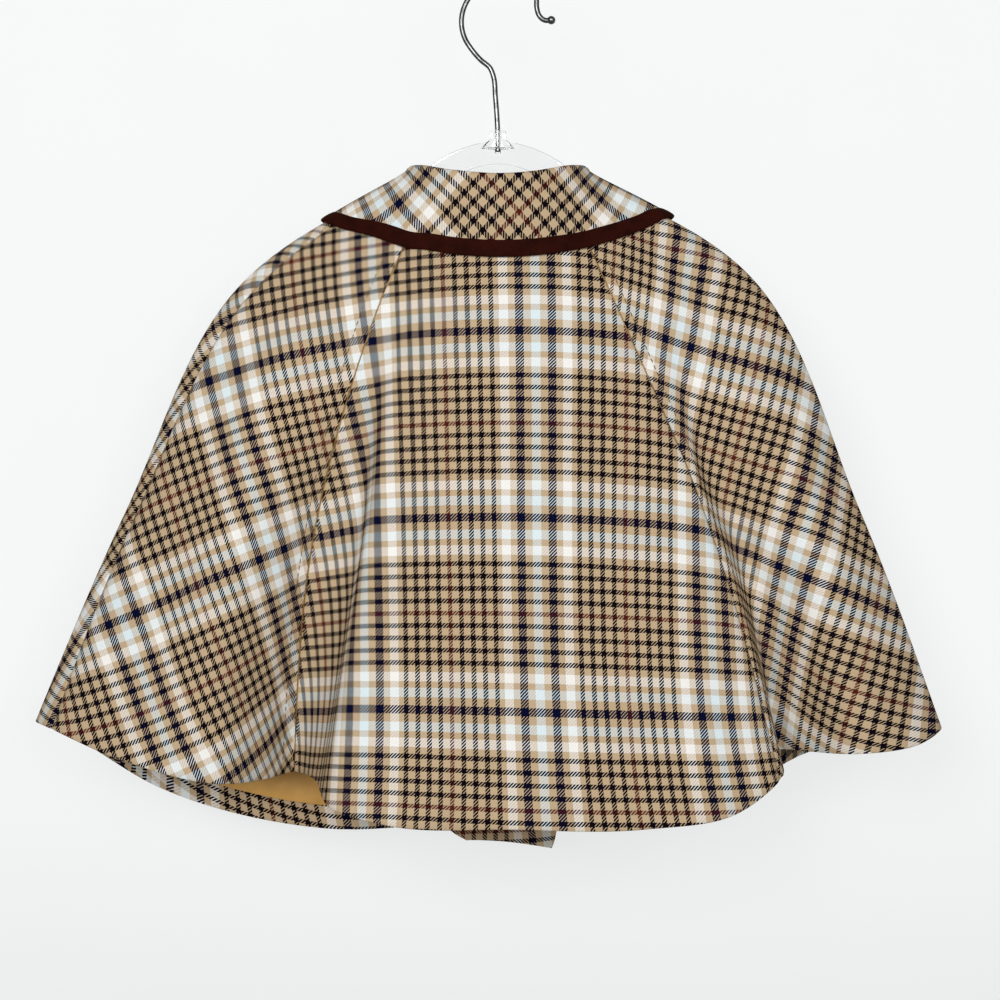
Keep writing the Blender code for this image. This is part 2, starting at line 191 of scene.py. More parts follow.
LINES = (
    Line("front_centre", 180, (-3, 34, -198), (-3, 37, -336), (-2, 38, -490)),
    Line("front_left_mid", -136, (-64, 25, -188), (-115, 30, -330), (-109, 34, -495)),
    Line("front_left_side", -112, (-110, 15, -166), (-180, 22, -303), (-204, 28, -470)),
    Line("front_left_turn", -99, (-139, 9, -170), (-210, 9, -304), (-253, 9, -437)),
    Line("left_edge", -90, (-149, -1, -172), (-218, -3, -306), (-269, -8, -427)),
    Line("left_side_seam", -82, (-140, -11, -175), (-211, -15, -308), (-257, -24, -429)),
    Line("left_side_out", -75, (-123, -17, -178), (-185, -30, -313), (-213, -40, -445)),
    Line("left_side", -67, (-104, -23, -180), (-148, -42, -319), (-158, -48, -457)),
    Line("left_valley_out", -59, (-84, -29, -186), (-124, -30, -321), (-135, -23, -458)),
    Line("left_seam", -52, (-71, -34, -193), (-108, -19, -322), (-121, -2, -457)),
    Line("left_wall", -46, (-64, -35, -196), (-84, -25, -324), (-107, -25, -458)),
    Line("left_ridge", -39, (-54, -38, -197), (-74, -49, -325), (-95, -57, -469)),
    Line("back_left", -26, (-37, -41, -199), (-55, -53, -326), (-65, -64, -477)),
    Line("centre_back", 0, (-2, -43, -200), (1, -57, -326), (4, -67, -479)),
    Line("back_right", 26, (35, -41, -199), (62, -54, -326), (80, -65, -479)),
    Line("right_ridge_in", 39, (53, -38, -197), (99, -50, -326), (128, -59, -472)),
    Line("right_seam", 49, (66, -35, -195), (120, -41, -326), (155, -44, -455)),
    Line("right_valley", 58, (80, -31, -191), (137, -19, -329), (161, -1, -444)),
    Line("right_side_in", 65, (95, -26, -186), (151, -27, -325), (173, -17, -443)),
    Line("right_side", 75, (111, -18, -178), (172, -37, -318), (198, -43, -441)),
    Line("right_side_out", 82, (129, -12, -169), (198, -17, -309), (234, -33, -437)),
    Line("right_edge", 91, (139, -1, -165), (207, -3, -306), (252, -10, -430)),
    Line("front_right_turn", 100, (129, 10, -164), (198, 11, -303), (233, 11, -437)),
    Line("front_right_side", 113, (108, 15, -164), (170, 22, -303), (184, 28, -448)),
    Line("front_right_mid", 136, (61, 25, -186), (106, 30, -328), (112, 34, -491)),
)

PANELS = (
    Panel(
        "front_left", "front_centre", "left_side_seam",
        Way(0.918, -0.396, 90.4),
        Way(0.396, 0.918, 20.1),
    ),
    Panel(
        "side_back_left", "left_side_seam", "left_seam",
        Way(0.862, 0.569, 22.5, 0.080, 0.012, -0.009),
        Way(-0.516, 0.785, -23.7, -0.047, -0.021, 0.005),
    ),
    Panel(
        "back", "left_seam", "right_seam",
        Way(0.978, 0.063, -41.9, -0.003, -0.003, -0.028),
        Way(-0.065, 0.998, 46.2, 0.052, 0.002, -0.010),
    ),
    Panel(
        "side_back_right", "right_seam", "right_edge",
        Way(0.794, -0.613, 49.9, -0.209, -0.055, 0.016),
        Way(0.595, 0.734, -24.3, -0.140, -0.052, 0.036),
    ),
    Panel(
        "front_right", "right_edge", "front_centre",
        Way(0.946, 0.325, -21.9),
        Way(-0.325, 0.946, 20.6),
    ),
)
COLLAR_WARP = Way(0.517, 0.698, 47.2, 0.229, 0.100, -0.504)
COLLAR_WEFT = Way(-0.653, 0.589, 80.1, 0.225, 0.057, 0.455)
PLACKET_WARP = Way(1.0, 0.0, 27.3)
PLACKET_WEFT = Way(0.0, 1.0, 60.4)
COLLAR_BOW_REACH_MM = 75.0
BOW_SPAN_MM = 100.0
FAR_MM = 1000.0

COLLAR_PLACES = (
    CollarPlace(-180, 4.0, 0.200),
    CollarPlace(-135, 2.6, 0.185),
    CollarPlace(-90, 2.6, 0.138),
    CollarPlace(-68, 6.5, 0.134),
    CollarPlace(-52, 10.4, 0.122),
    CollarPlace(-40, 13.2, 0.107),
    CollarPlace(-24, 16.8, 0.096),
    CollarPlace(0, 18.9, 0.0885),
    CollarPlace(26, 16.4, 0.0985),
    CollarPlace(45, 12.4, 0.112),
    CollarPlace(68, 6.5, 0.127),
    CollarPlace(90, 2.6, 0.142),
    CollarPlace(135, 2.6, 0.185),
    CollarPlace(180, 4.0, 0.200),
)

CREASES = (
    Crease(Side.BACK, 74, -385, 112, -470, 9, -1.4),
    Crease(Side.BACK, 92, -380, 124, -464, 8, 1.1),
    Crease(Side.BACK, -40, -400, -58, -474, 13, -0.8),
    Crease(Side.BACK, 20, -420, 16, -478, 15, 0.7),
    Crease(Side.BACK, 97, -203, 124, -322, 6, -2.0),
    Crease(Side.BACK, 88, -205, 115, -318, 5, 0.9),
    Crease(Side.BACK, -150, -250, -196, -400, 16, -0.8),
    Crease(Side.BACK, 150, -240, 204, -410, 15, -0.8),
    Crease(Side.FRONT, 60, -260, 96, -470, 14, -1.3),
    Crease(Side.FRONT, 84, -300, 128, -480, 12, 1.0),
    Crease(Side.FRONT, -70, -280, -92, -480, 14, -1.2),
    Crease(Side.FRONT, -140, -240, -176, -450, 15, 1.1),
)

WARP_HALF_MM = 49.25
WARP_STRIPES = (
    Stripe(0.0, 5.0, Yarn.BLUE),
    Stripe(8.6, 4.5, Yarn.NAVY),
    Stripe(17.1, 5.0, Yarn.WHITE),
    Stripe(23.7, 2.6, Yarn.DARK),
    Stripe(30.1, 2.6, Yarn.DARK),
    Stripe(36.5, 2.6, Yarn.DARK),
    Stripe(42.9, 2.6, Yarn.DARK),
    Stripe(49.25, 2.5, Yarn.RUST),
)
WEFT_HALF_MM = 51.75
WEFT_STRIPES = (
    Stripe(0.0, 4.3, Yarn.NAVY),
    Stripe(9.07, 5.0, Yarn.BLUE),
    Stripe(17.6, 5.0, Yarn.WHITE),
    Stripe(25.0, 2.6, Yarn.DARK),
    Stripe(31.7, 2.6, Yarn.DARK),
    Stripe(38.4, 2.6, Yarn.DARK),
    Stripe(45.1, 2.6, Yarn.DARK),
    Stripe(51.75, 2.5, Yarn.RUST),
)

HANGER_TOP = (
    FlatPlace(-138, -178),
    FlatPlace(-126, -170),
    FlatPlace(-108, -159),
    FlatPlace(-86, -146),
    FlatPlace(-66, -133),
    FlatPlace(-54, -122),
    FlatPlace(-43, -107),
    FlatPlace(-26, -97),
    FlatPlace(-3, -92),
    FlatPlace(20, -97),
    FlatPlace(37, -107),
    FlatPlace(48, -122),
    FlatPlace(60, -132),
    FlatPlace(80, -144),
    FlatPlace(103, -156),
    FlatPlace(121, -167),
    FlatPlace(131, -175),
)
WIRE_SHANK = (
    FlatPlace(-3.0, -98.0),
    FlatPlace(-3.2, -84.0),
    FlatPlace(-4.4, -66.0),
    FlatPlace(-5.6, -54.0),
    FlatPlace(-7.4, -49.5),
    FlatPlace(-13.0, -44.6),
)
WIRE_TIP = (
    FlatPlace(19.6, -14.4),
    FlatPlace(20.8, -18.6),
    FlatPlace(23.6, -21.4),
    FlatPlace(28.0, -21.6),
)

STITCH_RUNS = (
    StitchRun("topstitch_left", "left_seam", -6.0, 0.13, 0.985),
    StitchRun("topstitch_right", "right_seam", 6.0, 0.13, 0.985),
)


def unit(vectors: Grid) -> Grid:
    """The vectors made one long."""
    return vectors / np.maximum(np.linalg.norm(vectors, axis=-1, keepdims=True), TINY)


def ease(values: Grid, low: float, high: float) -> Grid:
    """Values moved to 0 below low and 1 above high, with a soft start and end."""
    share = np.clip((values - low) / (high - low), 0.0, 1.0)
    return share * share * (3.0 - 2.0 * share)


def smooth_through(points: Grid, knots: Grid, at: Grid, steps: Grid | None = None) -> Grid:
    """A smooth curve through points.

    Args:
        points: Places whose first axis runs along the knots.
        knots: The curve's value at each place.
        at: The values to read the curve at.
        steps: The way between neighbours for each column, where it differs from the knots'.

    Returns:
        One place for each value of at.
    """
    shape = (-1,) + (1,) * (points.ndim - 1)
    spans = np.diff(knots)
    steps = spans.reshape(shape) if steps is None else steps
    slopes = np.diff(points, axis=0) / steps
    before = steps[:-1]
    after = steps[1:]
    inner = (slopes[:-1] * after + slopes[1:] * before) / (before + after)
    first = slopes[:1] * 1.5 - inner[:1] * 0.5
    last = slopes[-1:] * 1.5 - inner[-1:] * 0.5
    tangents = np.concatenate([first, inner, last])
    at = np.asarray(at, float)
    i = np.clip(np.searchsorted(knots, at, side="right") - 1, 0, len(spans) - 1)
    reach = steps[i]
    u = ((at - knots[i]) / spans[i]).reshape(shape)
    start = points[i] * (1 + 2 * u) * (1 - u) ** 2 + tangents[i] * reach * u * (1 - u) ** 2
    end = points[i + 1] * u**2 * (3 - 2 * u) - tangents[i + 1] * reach * u**2 * (1 - u)
    return start + end


@dataclass
class CapeForm:
    """The cape's outer face, a smooth surface through its lines with its creases laid in."""

    neck_x: float = -3.0 * MM
    neck_half_width: float = 50.0 * MM
    neck_back: float = 34.0 * MM
    neck_front: float = 30.0 * MM
    neck_side_z: float = -114.0 * MM
    neck_back_dip: float = 24.0 * MM
    neck_front_dip: float = 27.0 * MM
    probe: float = 1e-4
    side_fade: tuple[float, float] = (0.05, 0.45)
    crease_taper: float = 0.8
    control: Grid = field(init=False)
    knots: Grid = field(init=False)
    shares: Grid = field(init=False)
    reaches: Grid = field(init=False)
    line_at: dict[str, int] = field(init=False)

    def __post_init__(self) -> None:
        """Reads the lines once, and measures how far round the cape each lies."""
        self.control = np.array([self.line_points(line) for line in LINES])
        lower = np.concatenate([self.control, self.control[:1]])[:, 2:]
        steps = np.linalg.norm(np.diff(lower, axis=0), axis=2).mean(axis=1)
        self.knots = np.concatenate([[0.0], np.cumsum(steps)])
        self.shares = np.linspace(0.0, 1.0, self.control.shape[1])
        falls = np.diff(self.control.swapaxes(0, 1), axis=0)
        self.reaches = np.linalg.norm(falls, axis=2, keepdims=True)
        self.line_at = {line.name: i for i, line in enumerate(LINES)}

    def line_points(self, line: Line) -> Grid:
        """The four places that a line goes through.

        Args:
            line: A row of the line table.

        Returns:
            The neck, yoke, middle and hem, in metres.
        """
        angle = math.radians(line.neck_deg)
        back = math.cos(angle) > 0
        depth = self.neck_back if back else self.neck_front
        dip = self.neck_back_dip if back else self.neck_front_dip
        neck = (
            self.neck_x + self.neck_half_width * math.sin(angle),
            -depth * math.cos(angle),
            self.neck_side_z - dip * math.cos(angle) ** 2,
        )
        return np.concatenate([[neck], np.array([line.yoke, line.mid, line.hem]) * MM])

    def points(self, around: Grid, down: Grid) -> Grid:
        """Places on the face before creases.

        Args:
            around: The way from the centre front, in metres.
            down: Shares from 0 at the neck to 1 at the hem.

        Returns:
            A grid with a column for each place around and a row for each share.
        """
        rows = self.control.swapaxes(0, 1)
        lines = smooth_through(rows, self.shares, down, self.reaches).swapaxes(0, 1)
        whole = self.knots[-1]
        looped = np.concatenate([lines[-2:], lines, lines[:3]])
        knots = np.concatenate([self.knots[-3:-1] - whole, self.knots, self.knots[1:3] + whole])
        steps = np.linalg.norm(np.diff(looped, axis=0), axis=2, keepdims=True)
        return smooth_through(looped, knots, around, steps)

    def slopes(self, around: Grid, down: Grid) -> tuple[Grid, Grid]:
        """The directions around and down the face.

        Args:
            around: The way from the centre front, in metres.
            down: Shares from the neck to the hem.

        Returns:
            A grid of directions around and one of directions down.
        """
        around = np.asarray(around, float)
        down = np.asarray(down, float)
        along = self.points(around + self.probe, down) - self.points(around - self.probe, down)
        fall = self.points(around, down + self.probe) - self.points(around, down - self.probe)
        return along / (2 * self.probe), fall / (2 * self.probe)

    def normals(self, around: Grid, down: Grid) -> Grid:
        """The outward directions on a grid of the face."""
        along, fall = self.slopes(around, down)
        return unit(np.cross(fall, along))

    def crease_heights(self, points: Grid, normals: Grid) -> Grid:
        """How far the creases move the face in or out.

        Args:
            points: Places on the face.
            normals: The outward direction at each.

        Returns:
            A height for each place, in metres.
        """
        height = np.zeros(points.shape[:-1])
        for crease in CREASES:
            start = np.array([crease.x0, crease.z0]) * MM
            way = np.array([crease.x1, crease.z1]) * MM - start
            length = np.linalg.norm(way)
            offset = points[..., [0, 2]] - start
            share = offset @ way / length**2
            across = (offset[..., 0] * way[1] - offset[..., 1] * way[0]) / length
            profile = np.exp(-((across / (crease.width * MM)) ** 2))
            taper = np.clip(4.0 * share * (1.0 - share), 0.0, 1.0) ** self.crease_taper
            facing = ease(normals[..., 1] * crease.side.value, *self.side_fade)
            height += crease.depth * MM * profile * taper * facing
        return height

    def face(self, around: Grid, down: Grid) -> tuple[Grid, Grid]:
        """The creased face.

        Args:
            around: The way from the centre front, in metres.
            down: Shares from the neck to the hem.

        Returns:
            A grid of places and one of outward directions.
        """
        points = self.points(around, down)
        normals = self.normals(around, down)
        return points + normals * self.crease_heights(points, normals)[..., None], normals

    def trace(self, around: Grid, down: Grid) -> tuple[Grid, Grid]:
        """Places and outward directions for pairs of values.

        Args:
            around: One way round for each pair.
            down: One share for each pair.

        Returns:
            The places and the directions.
        """
        pairs = [self.face([a], [d]) for a, d in zip(around, down)]
        return np.array([p[0, 0] for p, _ in pairs]), np.array([n[0, 0] for _, n in pairs])

    def lower_shares(self, around: Grid, share: Grid, length: float) -> Grid:
        """The shares that lie a length below given shares."""
        falls = [np.linalg.norm(self.slopes([a], [s])[1][0, 0]) for a, s in zip(around, share)]
        return share + length / np.array(falls)

    def columns(self, first: str, last: str, steps: int) -> Grid:
        """Places around from one line to another.

        Args:
            first: The line to start at.
            last: The line to end at.
            steps: Columns in each span between lines.

        Returns:
            The ways round, in metres.
        """
        i = self.line_at[first]
        j = self.line_at[last] or len(LINES)
        spans = zip(self.knots[i:j], self.knots[i + 1 : j + 1])
        parts = [np.linspace(start, end, steps, endpoint=False) for start, end in spans]
        return np.concatenate(parts + [self.knots[j : j + 1]])


def alone(obj: bpy.types.Object) -> None:
    """Makes this the only selected object and the active one.

    Args:
        obj: The object.
    """
    bpy.ops.object.select_all(action="DESELECT")
    obj.select_set(True)
    bpy.context.view_layer.objects.active = obj


def new_object(name: str, points: Grid, faces: list) -> bpy.types.Object:
    """A smooth mesh object in the scene.

    Args:
        name: The piece's name.
        points: Its corners, in metres.
        faces: Corner numbers of each face.

    Returns:
        The new object.
    """
    mesh = bpy.data.meshes.new(name)
    mesh.from_pydata([tuple(p) for p in points.reshape(-1, 3)], [], faces)
    mesh.polygons.foreach_set("use_smooth", np.ones(len(mesh.polygons), bool))
    obj = bpy.data.objects.new(name, mesh)
    bpy.context.scene.collection.objects.link(obj)
    return obj


def grid_faces(wide: int, long: int) -> Grid:
    """The quads of a grid, each turned outward.

    Args:
        wide: How many columns the grid has.
        long: How many places each column has.

    Returns:
        Four corner numbers for each quad.
    """
    i, j = np.meshgrid(np.arange(wide - 1), np.arange(long - 1), indexing="ij")
    a = (i * long + j).ravel()
    return np.stack([a, a + 1, a + long + 1, a + long], axis=1)


def rim_of(wide: int, long: int) -> Grid:
    """The corner numbers round the edge of a grid, in order."""
    at = np.arange(wide * long).reshape(wide, long)
    return np.concatenate([at[:, 0], at[-1, 1:], at[-2::-1, -1], at[0, -2:0:-1]])


def grid_normals(grid: Grid) -> Grid:
    """The outward directions of a grid of places."""
    return unit(np.cross(np.gradient(grid, axis=1), np.gradient(grid, axis=0)))


@dataclass
class ClothShell:
    """A closed thin wall of cloth between two grids, with rounded edges."""

    rim_steps: int = 3
    rim_bulge: float = 0.5

    def build(
        self, name: str, outer: Grid, inner: Grid, weave: Grid, inner_weave: Grid
    ) -> bpy.types.Object:
        """Makes the wall.

        Args:
            name: The piece's name.
            outer: The outward face.
            inner: The inward face, of the same shape.
            weave: Flat cloth places of the outward face.
            inner_weave: Flat cloth places of the inward face.

        Returns:
            The new object, with its weave map.
        """
        wide, long = outer.shape[:2]
        count = wide * long
        rim = rim_of(wide, long)
        top = outer.reshape(-1, 3)[rim]
        bottom = inner.reshape(-1, 3)[rim]
        half = (top - bottom) / 2
        reach = np.linalg.norm(half, axis=1, keepdims=True)
        out = self.edge_directions(outer).reshape(-1, 3)[rim] * self.rim_bulge
        rings = [rim]
        points = [outer.reshape(-1, 3), inner.reshape(-1, 3)]
        places = [weave.reshape(-1, 2), inner_weave.reshape(-1, 2)]
        for k in range(1, self.rim_steps + 1):
            angle = math.pi * k / (self.rim_steps + 1)
            bulge = out * reach * math.sin(angle)
            points.append((top + bottom) / 2 + half * math.cos(angle) + bulge)
            places.append(weave.reshape(-1, 2)[rim])
            rings.append(2 * count + (k - 1) * len(rim) + np.arange(len(rim)))
        rings.append(rim + count)
        quads = grid_faces(wide, long)
        faces = [quads, quads[:, ::-1] + count]
        for here, there in zip(rings, rings[1:]):
            faces.append(np.stack([here, np.roll(here, -1), np.roll(there, -1), there], axis=1))
        obj = new_object(name, np.concatenate(points), np.concatenate(faces).tolist())
        set_weave(obj, np.concatenate(places))
        return obj

    @staticmethod
    def edge_directions(grid: Grid) -> Grid:
        """The directions out over a grid's edges, and nothing inside it.

        Args:
            grid: Places on the cloth.

        Returns:
            A direction for each place.
        """
        out = np.zeros_like(grid)
        out[0] += unit(grid[0] - grid[1])
        out[-1] += unit(grid[-1] - grid[-2])
        out[:, 0] += unit(grid[:, 0] - grid[:, 1])
        out[:, -1] += unit(grid[:, -1] - grid[:, -2])
        return unit(out)


def set_weave(obj: bpy.types.Object, places: Grid) -> None:
    """Gives each corner of a mesh its place on the flat cloth.

    Args:
        obj: The piece.
        places: A flat place in metres for each of its points.
    """
    layer = obj.data.uv_layers.new(name=WEAVE_MAP)
    layer.data.foreach_set("uv", places[corner_points(obj.data)].astype(np.float32).ravel())


def corner_points(mesh: bpy.types.Mesh) -> Grid:
    """The number of the point at each face corner of a mesh.

    Args:
        mesh: The mesh.

    Returns:
        One number for each corner.
    """
    corners = np.empty(len(mesh.loops), np.int32)
    mesh.loops.foreach_get("vertex_index", corners)
    return corners


def flatten(grid: Grid) -> Grid:
    """Lays a grid of cloth flat as it was cut.

    Args:
        grid: Places on the cloth.

    Returns:
        Flat places in metres, about the grid's middle, with its middle column running down.
    """
    wide, long = grid.shape[:2]
    obj = new_object("flat_pattern", grid, grid_faces(wide, long).tolist())
    obj.data.uv_layers.new(name="flat")
    alone(obj)
    bpy.ops.object.mode_set(mode="EDIT")
    bpy.ops.mesh.select_all(action="SELECT")
    bpy.ops.uv.unwrap(method="MINIMUM_STRETCH", margin=0.0)
    bpy.ops.object.mode_set(mode="OBJECT")
    mesh = obj.data
    read = np.empty(len(mesh.loops) * 2, np.float32)
    mesh.uv_layers["flat"].data.foreach_get("uv", read)
    flat = np.empty((wide * long, 2))
    flat[corner_points(mesh)] = read.reshape(-1, 2)
    bpy.data.objects.remove(obj, do_unlink=True)
    bpy.data.meshes.remove(mesh)
    flat = flat.reshape(wide, long, 2)
    level = np.concatenate([flat, np.zeros_like(flat[..., :1])], axis=2)
    ratio = math.sqrt(grid_area(grid) / grid_area(level))
    flat = (flat - flat[wide // 2, long // 2]) * ratio
    down = flat[wide // 2, -1] - flat[wide // 2, 0]
    angle = math.atan2(down[0], -down[1])
    return turned(flat, -angle)


def grid_area(grid: Grid) -> float:
    """The area of a grid's quads.

    Args:
        grid: Places on the cloth.

    Returns:
        The area in square metres.
    """
    one = grid[1:, 1:] - grid[:-1, :-1]
    two = grid[1:, :-1] - grid[:-1, 1:]
    return float(np.linalg.norm(np.cross(one, two), axis=-1).sum() / 2)


def turned(flat: Grid, angle: float) -> Grid:
    """Flat places turned about the origin.

    Args:
        flat: The places.
        angle: The turn, in radians.

    Returns:
        The turned places.
    """
    c = math.cos(angle)
    s = math.sin(angle)
    return flat @ np.array([[c, s], [-s, c]])


def cut_of(name: str, flat: Grid, points: Grid) -> Cut:
    """Measures a sheet as it was cut.

    Args:
        name: What the log calls it.
        flat: Its places laid flat.
        points: Its places on the cape.

    Returns:
        Its flat size and its area.
    """
    width, length = np.ptp(flat.reshape(-1, 2), axis=0).tolist()
    area = grid_area(points)
    log.info("cut %s: %.0f x %.0f mm, %.4f m2", name, width / MM, length / MM, area)
    return Cut(width, length, area)


def laid(flat: Grid, warp: Way, weft: Way, reach: float = FAR_MM) -> Grid:
    """Args:
        flat: Flat places on the piece, in metres.
        warp: How the check's warp way lies.
        weft: How its weft way lies.
        reach: How far across the bows go on growing, in millimetres.

    Returns:
        Places across and along the check, in metres.
    """
    u = flat[..., 0] / MM
    v = flat[..., 1] / MM
    near = np.clip(u, -reach, reach)
    bows = np.stack([near * (2 * u - near), v * v, near * v], axis=-1) / BOW_SPAN_MM
    terms = np.concatenate([np.stack([u, v, np.ones_like(u)], axis=-1), bows], axis=-1)
    return terms @ np.array([warp, weft]).T * MM


def dress(
    obj: bpy.types.Object, material: bpy.types.Material, slot: Slot, *nodes: str
) -> None:
    """Gives a piece its finish, its body and the CAD nodes that it stands for.

    Args:
        obj: The piece.
        material: Its finish.
        slot: The record's material slot; not used.
        nodes: The CAD nodes that it replaces.
    """
    obj.data.materials.clear()
    obj.data.materials.append(material)
    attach(obj, BODY)
    if nodes:
        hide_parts(*nodes)
    log.info("%s: %d faces", obj.name, len(obj.data.polygons))


class NodeBoard:
    """A node tree with short calls that add nodes and link them."""

    def __init__(self, tree: bpy.types.NodeTree) -> None:
        """Keeps the tree."""
        self.tree = tree

    def feed(self, node: bpy.types.Node, inputs: dict) -> None:
        """Links a socket to each input of a node, or sets the input's value.

        Args:
            node: The node.
            inputs: A value or a socket for each input, by its name or number.
        """
        for key, value in inputs.items():
            if isinstance(value, bpy.types.NodeSocket):
                self.tree.links.new(value, node.inputs[key])
            else:
                node.inputs[key].default_value = value

    def add(self, kind: str, inputs: dict | None = None, **settings: object) -> bpy.types.Node:
        """Adds a node.

        Args:
            kind: The node's type.
            inputs: A value or a socket to link for each input.
            settings: Properties of the node.

        Returns:
            The node.
        """
        node = self.tree.nodes.new(kind)
        for name, value in settings.items():
            setattr(node, name, value)
        self.feed(node, inputs or {})
        return node

    def math(self, operation: str, *values: object) -> bpy.types.NodeSocket:
        """The result of a Math node."""
        return self.add("ShaderNodeMath", dict(enumerate(values)), operation=operation).outputs[0]

    def mix(
        self, factor: object, first: object, second: object, blend: str = "MIX"
    ) -> bpy.types.NodeSocket:
        """The result of a colour Mix node.

        Args:
            factor: How much of the second colour shows.
            first: The first colour.
            second: The second colour.
            blend: How they are mixed.

        Returns:
            The mixed colour.
        """
        inputs = dict(zip(COLOUR_MIX_INPUTS, (factor, first, second)))
        node = self.add("ShaderNodeMix", inputs, data_type="RGBA", blend_type=blend)
        return node.outputs[COLOUR_MIX_RESULT]

    def split(self, place: bpy.types.NodeSocket) -> list[bpy.types.NodeSocket]:
        """The X, Y and Z of a vector."""
        return list(self.add("ShaderNodeSeparateXYZ", {0: place}).outputs)

    def spread(self, value: object, low: float, high: float) -> bpy.types.NodeSocket:
        """A value from 0 to 1 moved to run from low to high."""
        inputs = {"Value": value, "To Min": low, "To Max": high}
        return self.add("ShaderNodeMapRange", inputs).outputs[0]

    def between(self, value: object, low: float, high: float) -> bpy.types.NodeSocket:
        """A value moved to be 0 at low and 1 at high, and no further."""
        inputs = {"Value": value, "From Min": low, "From Max": high}
        return self.add("ShaderNodeMapRange", inputs).outputs[0]

    def fold(self, value: object, half: float) -> bpy.types.NodeSocket:
        """A value that runs from 0 to 1 over each half and back over the next."""
        return self.math("DIVIDE", self.math("PINGPONG", value, half), half)

    def noise(self, place: object, scale: object, detail: float = 2.0) -> bpy.types.NodeSocket:
        """The value of a Noise texture."""
        inputs = {"Vector": place, "Scale": scale, "Detail": detail}
        return self.add("ShaderNodeTexNoise", inputs).outputs[0]

    def bump(self, height: object, strength: float, distance: float) -> bpy.types.NodeSocket:
        """The normal that a height gives."""
        inputs = {"Strength": strength, "Distance": distance, "Height": height}
        return self.add("ShaderNodeBump", inputs).outputs[0]

    def weave_place(self) -> bpy.types.NodeSocket:
        """The place on the flat cloth."""
        return self.add("ShaderNodeUVMap", uv_map=WEAVE_MAP).outputs[0]

    def object_place(self) -> bpy.types.NodeSocket:
        """The place in the object."""
        return self.add("ShaderNodeTexCoord").outputs["Object"]

    def nap(
        self, place: object, group: bpy.types.NodeTree, patch: float, grain: float
    ) -> tuple[bpy.types.NodeSocket, bpy.types.NodeSocket]:
        """The mottle and the grain of a surface.

        Args:
            place: Where to read them.
            group: The shared mottling group.
            patch: The mottle's scale.
            grain: The grain's scale.

        Returns:
            The mottle's socket and the grain's.
        """
        node = self.add("ShaderNodeGroup", node_tree=group)
        self.feed(node, {"Place": place, "Patch": patch, "Grain": grain})
        return node.outputs["Mottle"], node.outputs["Grain"]

    def ramp(self, value: object, stops: list, smooth: str = "CONSTANT") -> bpy.types.NodeSocket:
        """The colour of a Color Ramp node.

        Args:
            value: The socket to read.
            stops: Pairs of a place from 0 to 1 and a colour.
            smooth: How the ramp runs between stops.

        Returns:
            The colour socket.
        """
        node = self.add("ShaderNodeValToRGB", {0: value})
        node.color_ramp.interpolation = smooth
        elements = node.color_ramp.elements
        while len(elements) < len(stops):
            elements.new(1.0)
        for element, (position, colour) in zip(elements, stops):
            element.position = position
            element.color = (*colour, 1.0)
        return node.outputs[0]


def new_group(
    name: str, inputs: dict, outputs: dict
) -> tuple[NodeBoard, bpy.types.Node, bpy.types.Node]:
    """An empty shader node group.

    Args:
        name: The group's name.
        inputs: Socket types by name.
        outputs: Socket types by name.

    Returns:
        Its board, its input node and its output node.
    """
    tree = bpy.data.node_groups.new(name, "ShaderNodeTree")
    for way, sockets in (("INPUT", inputs), ("OUTPUT", outputs)):
        for label, kind in sockets.items():
            tree.interface.new_socket(name=label, in_out=way, socket_type=kind)
    board = NodeBoard(tree)
    return board, board.add("NodeGroupInput"), board.add("NodeGroupOutput")


def new_material(name: str) -> tuple[bpy.types.Material, NodeBoard, bpy.types.Node]:
    """A material with nodes.

    Args:
        name: The material's name.

    Returns:
        The material, its board and its Principled node.
    """
    made = bpy.data.materials.new(name)
    made.use_nodes = True
    return made, NodeBoard(made.node_tree), made.node_tree.nodes["Principled BSDF"]


